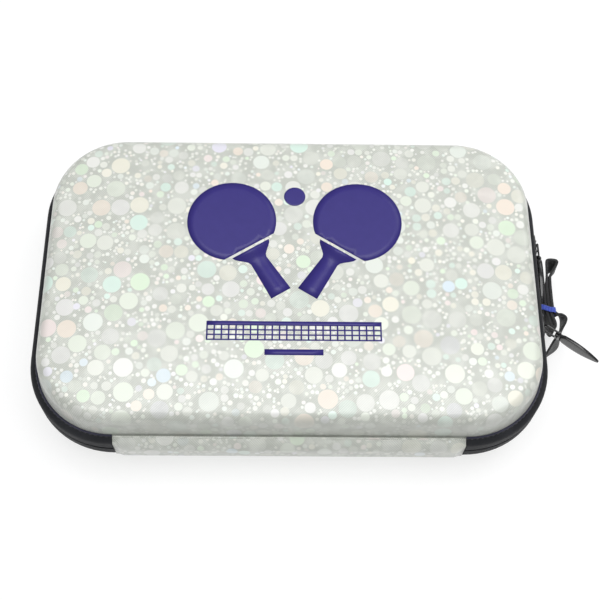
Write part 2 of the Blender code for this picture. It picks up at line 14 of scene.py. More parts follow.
import bmesh
import bpy
from mathutils import Matrix, Vector, noise
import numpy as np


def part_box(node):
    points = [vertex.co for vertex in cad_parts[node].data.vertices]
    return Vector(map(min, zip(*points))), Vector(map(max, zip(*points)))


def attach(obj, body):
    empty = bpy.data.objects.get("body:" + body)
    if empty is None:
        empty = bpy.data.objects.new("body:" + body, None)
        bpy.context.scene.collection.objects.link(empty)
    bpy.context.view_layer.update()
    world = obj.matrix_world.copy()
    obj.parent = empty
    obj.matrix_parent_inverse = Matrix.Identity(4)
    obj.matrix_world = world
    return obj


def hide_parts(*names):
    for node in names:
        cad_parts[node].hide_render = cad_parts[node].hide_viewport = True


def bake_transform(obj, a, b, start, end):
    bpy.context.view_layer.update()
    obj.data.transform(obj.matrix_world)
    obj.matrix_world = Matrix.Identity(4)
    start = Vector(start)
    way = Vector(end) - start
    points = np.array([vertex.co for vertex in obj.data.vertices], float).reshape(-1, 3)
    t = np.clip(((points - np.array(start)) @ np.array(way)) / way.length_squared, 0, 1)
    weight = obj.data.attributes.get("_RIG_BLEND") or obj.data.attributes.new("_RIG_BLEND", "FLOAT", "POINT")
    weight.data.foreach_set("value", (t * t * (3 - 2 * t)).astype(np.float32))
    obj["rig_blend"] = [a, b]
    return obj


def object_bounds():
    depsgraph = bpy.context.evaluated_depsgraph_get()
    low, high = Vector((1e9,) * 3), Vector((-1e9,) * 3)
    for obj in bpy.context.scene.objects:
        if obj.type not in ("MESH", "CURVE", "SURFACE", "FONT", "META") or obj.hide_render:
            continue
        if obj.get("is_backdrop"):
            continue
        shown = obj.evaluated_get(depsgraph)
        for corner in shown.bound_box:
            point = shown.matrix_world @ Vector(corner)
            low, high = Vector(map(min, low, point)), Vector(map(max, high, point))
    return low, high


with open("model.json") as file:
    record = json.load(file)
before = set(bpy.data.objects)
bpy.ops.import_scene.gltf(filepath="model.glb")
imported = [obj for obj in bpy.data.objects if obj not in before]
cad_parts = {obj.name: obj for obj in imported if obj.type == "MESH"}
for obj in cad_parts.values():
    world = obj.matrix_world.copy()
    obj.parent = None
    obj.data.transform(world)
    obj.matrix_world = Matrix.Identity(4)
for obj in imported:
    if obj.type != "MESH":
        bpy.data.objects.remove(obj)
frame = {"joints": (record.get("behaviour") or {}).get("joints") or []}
CAD_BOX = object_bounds()

MM = 0.001
UP = Vector((0, 0, 1))
EAST = Vector((1, 0, 0))
NORTH = Vector((0, 1, 0))
MEETS = 0.01 * MM
LID_CROWN = 1.5 * MM
LOG = logging.getLogger("paddle_case")

Colour = tuple[float, float, float]
Geometry = list


class Half(Enum):
    """One half of the case, by the way that its heights run from the middle plane."""

    LID = 1
    BASE = -1

    @property
    def word(self) -> str:
        """The half's name, as bodies and nodes have it."""
        return self.name.lower()

    def of(self, word: str) -> str:
        """The name of one of the half's pieces."""
        return f"{self.word}_{word}"


class Slot(Enum):
    """The record's material slots."""

    PEARL = "pearl_cloth"
    LINING = "lining_cloth"
    TAPE = "zip_tape"
    COIL = "zip_coil"
    NET = "mesh_net"
    FOAM = "grey_foam"
    WEBBING = "webbing"
    ELASTIC = "blue_elastic"
    METAL = "black_metal"


# ---------------------------------------------------------------- drawing tools


def is_vert(item: object) -> bool:
    """Whether a piece of geometry is a vertex."""
    return isinstance(item, bmesh.types.BMVert)


def whole(bm: bmesh.types.BMesh) -> Geometry:
    """All of a mesh, with its faces."""
    return bm.verts[:] + bm.edges[:] + bm.faces[:]


def ease(share: float) -> float:
    """A share from 0 to 1, slow at both its ends."""
    return share * share * (3 - 2 * share)


def clip(share: float) -> float:
    """A number kept between 0 and 1."""
    return max(0.0, min(1.0, share))


def new_mesh() -> bmesh.types.BMesh:
    """An empty mesh whose vertices keep how far they were carried, and how drawn the cloth on them is, which
    also sets how much painted shade the pearl cloth gets.
    """
    bm = bmesh.new()
    for name in ("along", "across", "drawn"):
        bm.verts.layers.float.new(name)
    return bm


def measure_layer(bm: bmesh.types.BMesh, name: str) -> object:
    """The mesh's number layer of that name."""
    return bm.verts.layers.float[name]


class Rail:
    """Geometry that is carried by runs and turns, and leaves edges or a surface behind it.

    Each new vertex keeps how far it has been carried, in metres, in the layer that measure names.
    """

    def __init__(self, bm: bmesh.types.BMesh, tip: Geometry, measure: str = "across") -> None:
        """Start from a tip, which is a vertex or a chain of edges with its vertices."""
        self.layer = measure_layer(bm, measure)
        self.bm = bm
        self.tip = tip
        self.travel = 0.0

    def _carry(self, pieces: int, reach: float, **motion: object) -> "Rail":
        """Carry the tip by one motion, in pieces.

        Args:
            pieces: how many steps the motion takes.
            reach: the motion's whole length.
            motion: the centre, axis, angle and straight step of each piece.

        Returns:
            The rail, so that motions can follow each other.
        """
        for _ in range(pieces):
            made = bmesh.ops.spin(
                self.bm, geom=self.tip, steps=1, use_merge=False, use_duplicate=False, **motion
            )
            self.tip = made["geom_last"]
            self.travel += reach / pieces
            for vert in filter(is_vert, self.tip):
                vert[self.layer] = self.travel
        return self

    def run(self, step: Sequence[float], pieces: int = 1) -> "Rail":
        """Carry the tip straight by a step."""
        step = Vector(step)
        return self._carry(pieces, step.length, cent=(0, 0, 0), axis=UP, dvec=step / pieces, angle=0.0)

    def turn(self, centre: Sequence[float], axis: Vector, degrees: float, pieces: int) -> "Rail":
        """Carry the tip round a centre."""
        arm = next(filter(is_vert, self.tip)).co - Vector(centre)
        arm -= axis * arm.dot(axis)
        angle = math.radians(degrees)
        return self._carry(
            pieces, arm.length * abs(angle), cent=centre, axis=axis, dvec=(0, 0, 0), angle=angle / pieces
        )

    @property
    def end(self) -> Vector:
        """Where the first vertex of the tip is now."""
        return next(filter(is_vert, self.tip)).co.copy()

    def sweep(self) -> "Rail":
        """A rail that carries everything drawn so far, along a path."""
        return Rail(self.bm, everything(self.bm), "along")


def start_chain(start: Sequence[float]) -> Rail:
    """A new mesh with one vertex, ready to be carried."""
    bm = new_mesh()
    return Rail(bm, [bm.verts.new(start)])


def everything(bm: bmesh.types.BMesh) -> Geometry:
    """All the vertices and edges of a mesh, to be carried as one."""
    return bm.verts[:] + bm.edges[:]


def open_edges(bm: bmesh.types.BMesh) -> list:
    """The edges at the border of a surface."""
    return [edge for edge in bm.edges if edge.is_boundary]


def close_seams(bm: bmesh.types.BMesh, distance: float = MEETS) -> None:
    """Merge what meets, drop faces with no area, and point the faces outwards."""
    bmesh.ops.remove_doubles(bm, verts=bm.verts, dist=distance)
    bmesh.ops.dissolve_degenerate(bm, dist=distance, edges=bm.edges)
    bmesh.ops.recalc_face_normals(bm, faces=bm.faces)


def face_towards(bm: bmesh.types.BMesh, way: Vector) -> None:
    """Point an open surface's faces so that the one furthest along a way looks that way."""
    bmesh.ops.recalc_face_normals(bm, faces=bm.faces)
    furthest = max(bm.faces, key=lambda face: face.calc_center_median().dot(way))
    if furthest.normal.dot(way) < 0:
        bmesh.ops.reverse_faces(bm, faces=bm.faces)


def round_off(bm: bmesh.types.BMesh, edges: list, width: float, segments: int = 2) -> None:
    """Bevel some edges."""
    bmesh.ops.bevel(
        bm, geom=edges, offset=width, offset_type="OFFSET", segments=segments, profile=0.5,
        affect="EDGES", clamp_overlap=True, material=-1,
    )


def sharp_edges(bm: bmesh.types.BMesh, degrees: float = 40) -> list:
    """The edges where two faces meet at more than an angle."""
    least = math.radians(degrees)
    return [edge for edge in bm.edges if len(edge.link_faces) == 2 and edge.calc_face_angle(0) > least]


def add_box(bm: bmesh.types.BMesh, centre: Sequence[float], size: Sequence[float],
            turn: Matrix | None = None) -> list:
    """A box in a mesh.

    Args:
        bm: the mesh.
        centre: the box's middle.
        size: its three sides.
        turn: how it is turned, if it is.

    Returns:
        The box's vertices.
    """
    place = Matrix.Translation(centre) @ (turn.to_4x4() if turn else Matrix.Identity(4))
    return bmesh.ops.create_cube(bm, size=1.0, matrix=place @ Matrix.Diagonal((*size, 1)))["verts"]


def join_into(bm: bmesh.types.BMesh, part: bmesh.types.BMesh) -> None:
    """Add a part's mesh to another, with its faces pointing out, and free it."""
    bmesh.ops.recalc_face_normals(part, faces=part.faces)
    mesh = bpy.data.meshes.new("part")
    part.to_mesh(mesh)
    part.free()
    bm.from_mesh(mesh)
    bpy.data.meshes.remove(mesh)


def write_uv(bm: bmesh.types.BMesh, at: Callable[[bmesh.types.BMVert], tuple[float, float]]) -> None:
    """Give a mesh a UV map in metres, from a rule for each vertex."""
    layer = bm.loops.layers.uv.new("cloth")
    for face in bm.faces:
        for corner in face.loops:
            corner[layer].uv = at(corner.vert)


def write_swept_uv(bm: bmesh.types.BMesh, total: float = math.inf) -> None:
    """Give a swept mesh a UV map in metres: along its path, and across it.

    Args:
        bm: the mesh.
        total: a closed path's whole length, so that the map runs on where the path meets itself.
    """
    layer = bm.loops.layers.uv.new("cloth")
    along, across = measure_layer(bm, "along"), measure_layer(bm, "across")
    for face in bm.faces:
        reach = [vert[along] for vert in face.verts]
        wraps = max(reach) - min(reach) > total / 2
        for corner in face.loops:
            far = corner.vert[along]
            corner[layer].uv = (far + total if wraps and far < total / 2 else far, corner.vert[across])


@dataclass(frozen=True)
class Wall:
    """The thickness that a surface is given, inwards from its faces or to both sides."""

    thickness: float
    centred: bool = False
    even: bool = True

    def build_on(self, piece: bpy.types.Object) -> None:
        """Add the thickness to a piece."""
        change = piece.modifiers.new("thickness", "SOLIDIFY")
        change.thickness = self.thickness
        change.offset = 0 if self.centred else -1
        change.use_even_offset = self.even
        change.use_quality_normals = True


def publish(name: str, bm: bmesh.types.BMesh, material: bpy.types.Material, body: str | None,
            slot: Slot, stands_for: Iterable[str] = (), wall: Wall | None = None,
            crease: float = 40) -> bpy.types.Object:
    """Turn a finished mesh into a piece of the case.

    Args:
        name: the piece's name.
        bm: its mesh, which is freed.
        material: its finish.
        body: the body that it rides on, or None where it bends between two.
        slot: the record's material slot; not used.
        stands_for: the frame's nodes that it replaces.
        wall: the thickness that a surface gets.
        crease: the angle in degrees over which an edge stays sharp.

    Returns:
        The new object.
    """
    mesh = bpy.data.meshes.new(name)
    bm.to_mesh(mesh)
    bm.free()
    mesh.materials.append(material)
    mesh.shade_smooth()
    mesh.set_sharp_from_angle(angle=math.radians(crease))
    piece = bpy.data.objects.new(name, mesh)
    bpy.context.scene.collection.objects.link(piece)
    if wall:
        wall.build_on(piece)
    if body:
        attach(piece, body)
    if stands_for:
        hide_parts(*stands_for)
    LOG.info("built %s: %d faces", name, len(mesh.polygons))
    return piece


# ---------------------------------------------------------------- finishes


class NodeKit:
    """One material's node tree, built round its Principled shader."""

    def __init__(self, name: str, sockets: dict[str, object]) -> None:
        """Make the material, and set the sockets that are the same all over."""
        self.material = bpy.data.materials.new(name)
        self.material.use_nodes = True
        self.tree = self.material.node_tree
        self.shader = self.tree.nodes["Principled BSDF"]
        for socket, value in sockets.items():
            self.feed(self.shader.inputs[socket], value)

    def feed(self, socket: bpy.types.NodeSocket, value: object) -> None:
        """Link a socket to another, or set it to a value."""
        if isinstance(value, bpy.types.NodeSocket):
            self.tree.links.new(value, socket)
        else:
            socket.default_value = value

    def add(self, kind: str, inputs: dict[str, object] | None = None, **settings: object) -> bpy.types.Node:
        """A new node with its settings and inputs."""
        node = self.tree.nodes.new("ShaderNode" + kind)
        for setting, value in settings.items():
            setattr(node, setting, value)
        for socket, value in (inputs or {}).items():
            self.feed(node.inputs[socket], value)
        return node

    def math(self, operation: str, *values: object, clamp: bool = False) -> bpy.types.NodeSocket:
        """One sum on numbers."""
        node = self.add("Math", operation=operation, use_clamp=clamp)
        for socket, value in zip(node.inputs, values):
            self.feed(socket, value)
        return node.outputs[0]

    def mix(self, share: object, first: object, second: object) -> bpy.types.NodeSocket:
        """Two colours mixed by a share."""
        node = self.add("Mix", data_type="RGBA")
        for socket, value in zip((0, 6, 7), (share, first, second)):
            self.feed(node.inputs[socket], value)
        return node.outputs[2]

    def pick(self, share: object, stops: Sequence[tuple[float, Colour]]) -> bpy.types.NodeSocket:
        """One of several colours, each from its stop to the next."""
        node = self.add("ValToRGB", {"Fac": share})
        node.color_ramp.interpolation = "CONSTANT"
        while len(node.color_ramp.elements) < len(stops):
            node.color_ramp.elements.new(0.5)
        for element, (place, colour) in zip(node.color_ramp.elements, stops):
            element.position = place
            element.color = (*colour, 1)
        return node.outputs[0]

    def range(self, value: object, low: float, high: float, to_low: float = 0.0,
              to_high: float = 1.0) -> bpy.types.NodeSocket:
        """A value moved smoothly from one range to another, and kept in it."""
        numbers = {"Value": value, "From Min": low, "From Max": high, "To Min": to_low, "To Max": to_high}
        return self.add("MapRange", numbers, interpolation_type="SMOOTHSTEP").outputs[0]

    def millimetres(self, source: str = "UV", turn: float = 0.0) -> bpy.types.NodeSocket:
        """The piece's own UV map or Object coordinates, in millimetres."""
        where = self.add("TexCoord").outputs[source]
        turned = {"Vector": where, "Scale": (1 / MM,) * 3, "Rotation": (0, 0, math.radians(turn))}
        return self.add("Mapping", turned).outputs[0]

    def noise(self, vector: object, size: float, detail: float = 2.0) -> bpy.types.NodeSocket:
        """Soft noise whose blotches have about that size."""
        return self.add("TexNoise", {"Vector": vector, "Scale": 1 / size, "Detail": detail}).outputs[0]

    def waves(self, number: object, pitch: float) -> bpy.types.NodeSocket:
        """A sine from -1 to 1 that repeats at a pitch."""
        return self.math("SINE", self.math("MULTIPLY_ADD", number, 2 * math.pi / pitch, 0.0))

    def ribs(self, number: object, pitch: float) -> bpy.types.NodeSocket:
        """The same sine from 0 to 1."""
        return self.math("MULTIPLY_ADD", self.waves(number, pitch), 0.5, 0.5)

    def split(self, vector: object) -> tuple[bpy.types.NodeSocket, ...]:
        """A vector's three numbers."""
        return tuple(self.add("SeparateXYZ", {"Vector": vector}).outputs)

    def plain_weave(self, vector: object, pitch_u: float, pitch_v: float) -> bpy.types.NodeSocket:
        """The height, 0 to 1, of threads that go over and under each other."""
        u, v, _ = self.split(vector)
        over = self.math("MULTIPLY", self.waves(u, pitch_u), self.waves(v, pitch_v))
        return self.math("MULTIPLY_ADD", over, 0.5, 0.5)

    def bump(self, height: object, depth: float, strength: float,
             below: object = None) -> bpy.types.NodeSocket:
        """A normal from a height in units of depth, on top of another."""
        node = self.add("Bump", {"Height": height, "Distance": depth, "Strength": strength})
        if below is not None:
            self.feed(node.inputs["Normal"], below)
        return node.outputs[0]

    def finish(self, **surface: object) -> bpy.types.Material:
        """Feed the shader what varies, and give back the material.

        Args:
            surface: colour, roughness and normal, each a socket.

        Returns:
            The finished material.
        """
        names = {"colour": "Base Color", "roughness": "Roughness", "normal": "Normal", "metallic": "Metallic"}
        for name, value in surface.items():
            self.feed(self.shader.inputs[names[name]], value)
        return self.material


@dataclass(frozen=True)
class Spots:
    """One size of round spots in the pearl cloth, in millimetres."""

    cell: float
    fill: float
    largest: float
    least: float


@dataclass(frozen=True)
class PearlCloth:
    """Pearl film on cloth: pale round spots of three sizes on a finely woven silver ground, with fewer spots
    where the cloth is drawn, and painted shade darkening the ground on the walls and the spine.
    """

    ground: Colour = (0.52, 0.54, 0.485)
    ground_light: Colour = (0.86, 0.88, 0.81)
    white: Colour = (0.93, 0.93, 0.88)
    whiteness: tuple[float, ...] = (0.15, 0.35, 0.72)
    thread_pitch: float = 1.12
    cross_pitch: float = 1.456
    thread_relief: float = 0.10
    blotch_size: float = 9.0
    drawn_plainness: float = 0.22
    # painted shade: how far towards black the ground is darkened where the cloth is fully drawn down the
    # walls
    painted_wall_shade: float = 0.16
    spot_gap: float = 0.35
    spot_edge: float = 0.32
    sizes: tuple[Spots, ...] = (
        Spots(13.0, 0.96, 5.4, 1.6), Spots(6.2, 0.95, 3.0, 0.9), Spots(2.9, 0.95, 1.4, 0.5),
    )
    tints: tuple[tuple[float, Colour], ...] = (
        (0.00, (0.80, 0.82, 0.74)), (0.14, (0.86, 0.86, 0.82)), (0.26, (0.78, 0.84, 0.72)),
        (0.36, (0.90, 0.87, 0.73)), (0.46, (0.70, 0.90, 0.80)), (0.54, (0.84, 0.83, 0.82)),
        (0.63, (0.73, 0.89, 0.67)), (0.70, (0.93, 0.80, 0.68)), (0.76, (0.82, 0.87, 0.80)),
        (0.84, (0.82, 0.80, 0.92)), (0.89, (0.93, 0.79, 0.77)), (0.93, (0.72, 0.85, 0.95)),
        (0.96, (0.86, 0.89, 0.78)),
    )

    def _cells(self, kit: NodeKit, spots: Spots, where: object, feature: str) -> bpy.types.Node:
        """A pattern of cells with one spot each, read at a place."""
        inputs = {"Vector": where, "Scale": 1 / spots.cell, "Randomness": 1.0}
        return kit.add("TexVoronoi", inputs, voronoi_dimensions="2D", feature=feature)

    def _spot(self, kit: NodeKit, level: int, where: object) -> tuple[object, object, object]:
        """The nearest spot of one size, cut down so that it keeps clear of the larger ones.

        Args:
            kit: the material.
            level: which of the sizes.
            where: the place that is read.

        Returns:
            The distance to the spot's middle, its radius, and its random colour.
        """
        spots = self.sizes[level]
        near = self._cells(kit, spots, where, "F1")
        room = self._cells(kit, spots, where, "N_SPHERE_RADIUS")
        distance = kit.math("MULTIPLY", near.outputs["Distance"], spots.cell)
        radius = kit.math("MULTIPLY", room.outputs["Radius"], spots.cell * spots.fill)
        radius = kit.math("MINIMUM", radius, spots.largest)
        for larger in range(level):
            reach, size, _ = self._spot(kit, larger, near.outputs["Position"])
            free = kit.math("SUBTRACT", kit.math("SUBTRACT", reach, size), self.spot_gap)
            radius = kit.math("MINIMUM", radius, free)
        shown = kit.math("GREATER_THAN", radius, spots.least)
        return distance, kit.math("MULTIPLY", radius, shown), near.outputs["Color"]

    def material(self) -> bpy.types.Material:
        """Build the cloth's material."""
        kit = NodeKit("pearl_film_cloth", {
            "Roughness": 0.4, "Specular IOR Level": 0.55, "Coat Weight": 0.55, "Coat Roughness": 0.2,
            "Sheen Weight": 0.15, "Sheen Roughness": 0.4,
        })
        where = kit.millimetres()
        u, v, _ = kit.split(where)
        twill = kit.ribs(kit.math("ADD", u, v), self.thread_pitch)
        dots = kit.math("MULTIPLY", twill, kit.ribs(kit.math("SUBTRACT", u, v), self.cross_pitch))
        blotch = kit.noise(where, self.blotch_size, 3.0)
        ground = kit.mix(kit.math("ADD", dots, kit.range(blotch, 0.35, 0.65, -0.2, 0.2), clamp=True),
                         (*self.ground, 1), (*self.ground_light, 1))
        drawn = kit.add("Attribute", attribute_name="drawn").outputs["Fac"]
        plainness = kit.range(drawn, 0.0, 1.0, 1.0, self.drawn_plainness)
        # painted shade: the ground is darkened towards black by the drawn share, on the walls and the spine
        ground = kit.mix(kit.range(drawn, 0.0, 1.0, 0.0, self.painted_wall_shade), ground, (0, 0, 0, 1))
        colour, cover = ground, 0.0
        for level in range(len(self.sizes)):
            distance, radius, chance = self._spot(kit, level, where)
            edge = kit.math("DIVIDE", kit.math("SUBTRACT", radius, distance), self.spot_edge)
            inside = kit.math("MULTIPLY", kit.math("ADD", edge, 0.5, clamp=True),
                              kit.math("GREATER_THAN", radius, 0.0))
            red, green, _ = kit.split(chance)
            tint = kit.mix(self.whiteness[level], kit.pick(red, self.tints), (*self.white, 1))
            strength = kit.math("MULTIPLY", inside, kit.range(green, 0.0, 1.0, 0.25 + 0.2 * level, 1.0))
            strength = kit.math("MULTIPLY", strength, plainness)
            colour = kit.mix(strength, colour, tint)
            cover = kit.math("MAXIMUM", cover, strength)
        weave = kit.math("MULTIPLY", dots, kit.math("SUBTRACT", 1.0, kit.math("MULTIPLY", cover, 0.7)))
        relief = kit.bump(weave, self.thread_relief * MM, 0.7)
        roughness = kit.range(cover, 0.0, 1.0, 0.46, 0.34)
        return kit.finish(colour=colour, roughness=roughness, normal=relief)


@dataclass(frozen=True)
class Weave:
    """A woven or knitted textile on a piece's own map, as threads over and under each other."""

    name: str
    colour: Colour
    light: Colour
    pitch: tuple[float, float]
    depth: float = 0.12
    roughness: float = 0.75
    sheen: float = 0.25
    ribbed: bool = False

    def material(self) -> bpy.types.Material:
        """Build the textile's material."""
        kit = NodeKit(self.name, {
            "Sheen Weight": self.sheen, "Sheen Roughness": 0.45, "Specular IOR Level": 0.35,
        })
        where = kit.millimetres()
        across, along = self.pitch
        if self.ribbed:
            u, v, _ = kit.split(where)
            height = kit.math("MULTIPLY_ADD", kit.ribs(v, along), 0.3, kit.ribs(u, across))
        else:
            height = kit.plain_weave(where, across, along)
        fuzz = kit.noise(where, 0.5, 3.0)
        worn = kit.range(kit.noise(where, 14.0, 4.0), 0.4, 0.7, 0.0, 0.5)
        shade = kit.math("MULTIPLY_ADD", fuzz, 0.6, kit.math("MULTIPLY", height, 0.6))
        colour = kit.mix(kit.range(kit.math("ADD", shade, worn), 0.2, 1.4),
                         (*self.colour, 1), (*self.light, 1))
        relief = kit.bump(height, self.depth * MM, 0.8, kit.bump(fuzz, 0.05 * MM, 0.5))
        rough = kit.range(fuzz, 0.2, 0.8, self.roughness - 0.08, self.roughness + 0.08)
        return kit.finish(colour=colour, roughness=rough, normal=relief)


@dataclass(frozen=True)
class Lacquer:
    """Black lacquered zinc, glossy, with fine marks and edges rubbed a little lighter."""

    name: str = "black_lacquer"
    colour: Colour = (0.009, 0.009, 0.010)
    rubbed: Colour = (0.16, 0.16, 0.165)
    gloss: float = 0.17

    def material(self) -> bpy.types.Material:
        """Build the metal's material."""
        kit = NodeKit(self.name, {"Specular IOR Level": 0.6, "Coat Weight": 0.7, "Coat Roughness": 0.08})
        where = kit.millimetres("Object")
        edge = kit.add("NewGeometry").outputs["Pointiness"]
        marks = kit.noise(where, 1.2, 5.0)
        wear = kit.math("MULTIPLY", kit.range(edge, 0.53, 0.60), kit.range(marks, 0.50, 0.66))
        colour = kit.mix(wear, (*self.colour, 1), (*self.rubbed, 1))
        rough = kit.range(kit.noise(where, 3.0, 4.0), 0.3, 0.7, self.gloss, self.gloss + 0.14)
        return kit.finish(colour=colour, roughness=rough, normal=kit.bump(marks, 0.02 * MM, 0.35),
                          metallic=kit.math("MULTIPLY_ADD", wear, 0.5, 0.35))


@dataclass(frozen=True)
class Nylon:
    """Moulded or spun nylon with a fine uneven grain."""

    name: str
    colour: Colour
    roughness: float = 0.38
    lightening: float = 1.8

    def material(self) -> bpy.types.Material:
        """Build the nylon's material."""
        kit = NodeKit(self.name, {"Specular IOR Level": 0.5, "Sheen Weight": 0.1})
        where = kit.millimetres("Object")
        grain = kit.noise(where, 0.6, 3.0)
        light = tuple(min(1.0, self.lightening * part + 0.01) for part in self.colour)
        colour = kit.mix(grain, (*self.colour, 1), (*light, 1))
        rough = kit.range(grain, 0.3, 0.7, self.roughness - 0.07, self.roughness + 0.1)
        return kit.finish(colour=colour, roughness=rough, normal=kit.bump(grain, 0.03 * MM, 0.4))


@dataclass(frozen=True)
class Foam:
    """Cut foam board with fine open cells."""

    name: str = "foam_board"
    colour: Colour = (0.030, 0.031, 0.034)
    light: Colour = (0.085, 0.086, 0.092)
    cell: float = 0.55
    relief: float = 0.18

    def material(self) -> bpy.types.Material:
        """Build the foam's material."""
        kit = NodeKit(self.name, {"Specular IOR Level": 0.25, "Sheen Weight": 0.2, "Sheen Roughness": 0.6})
        where = kit.millimetres("Object")
        pores = kit.add("TexVoronoi", {"Vector": where, "Scale": 1 / self.cell}, feature="F1")
        cells = pores.outputs["Distance"]
        clouds = kit.noise(where, 20.0, 4.0)
        colour = kit.mix(kit.math("MULTIPLY_ADD", clouds, 0.5, kit.math("MULTIPLY", cells, 0.5)),
                         (*self.colour, 1), (*self.light, 1))
        relief = kit.bump(cells, self.relief * MM, 0.7, kit.bump(clouds, 0.5 * MM, 0.3))
        return kit.finish(colour=colour, roughness=kit.range(cells, 0.0, 0.7, 0.95, 0.82), normal=relief)


@dataclass(frozen=True)
class Ink:
    """Screen-printed ink that lets the cloth's threads show through as relief."""

    name: str = "violet_blue_ink"
    colour: Colour = (0.026, 0.017, 0.180)
    thin: Colour = (0.034, 0.023, 0.210)

    def material(self) -> bpy.types.Material:
        """Build the ink's material."""
        kit = NodeKit(self.name, {"Specular IOR Level": 0.4, "Coat Weight": 0.15, "Coat Roughness": 0.3})
        where = kit.millimetres("Object", 45)
        threads = kit.plain_weave(where, 0.95, 1.2)
        colour = kit.mix(kit.noise(where, 6.0, 4.0), (*self.colour, 1), (*self.thin, 1))
        rough = kit.range(threads, 0.0, 1.0, 0.5, 0.42)
        return kit.finish(colour=colour, roughness=rough, normal=kit.bump(threads, 0.03 * MM, 0.35))


@dataclass(frozen=True)
class Finishes:
    """Every finish on the case."""

    pearl: bpy.types.Material
    tape: bpy.types.Material
    binding: bpy.types.Material
    lining: bpy.types.Material
    webbing: bpy.types.Material
    elastic: bpy.types.Material
    loops: bpy.types.Material
    coil: bpy.types.Material
    net: bpy.types.Material
    thread: bpy.types.Material
    metal: bpy.types.Material
    foam: bpy.types.Material
    ink: bpy.types.Material

    @classmethod
    def mixed(cls) -> "Finishes":
        """Build each finish once."""
        looks = {
            "pearl": PearlCloth(),
            "tape": Weave("zip_tape_knit", (0.007, 0.008, 0.010), (0.022, 0.023, 0.028), (0.9, 0.7),
                          0.14, 0.8, 0.08),
            "binding": Weave("navy_binding", (0.016, 0.016, 0.034), (0.050, 0.049, 0.085), (0.6, 0.8),
                             0.10, 0.6),
            "lining": Weave("lining_nylon", (0.010, 0.010, 0.012), (0.040, 0.040, 0.046), (0.8, 0.8),
                            0.08, 0.6),
            "webbing": Weave("strap_webbing", (0.008, 0.008, 0.009), (0.040, 0.040, 0.042), (1.5, 0.9),
                             0.3, 0.7),
            "elastic": Weave("ribbed_elastic", (0.020, 0.035, 0.30), (0.10, 0.17, 0.75), (0.9, 0.7),
                             0.2, 0.5, ribbed=True),
            "loops": Weave("loop_tape", (0.012, 0.012, 0.013), (0.060, 0.060, 0.062), (0.5, 0.6),
                           0.3, 0.95, 0.6),
            "coil": Nylon("zip_nylon", (0.012, 0.012, 0.014)),
            "net": Nylon("net_yarn", (0.085, 0.087, 0.092), 0.55),
            "thread": Nylon("sewing_thread", (0.016, 0.016, 0.020), 0.5),
            "metal": Lacquer(),
            "foam": Foam(),
            "ink": Ink(),
        }
        return cls(**{use: look.material() for use, look in looks.items()})


# ---------------------------------------------------------------- the case's plan


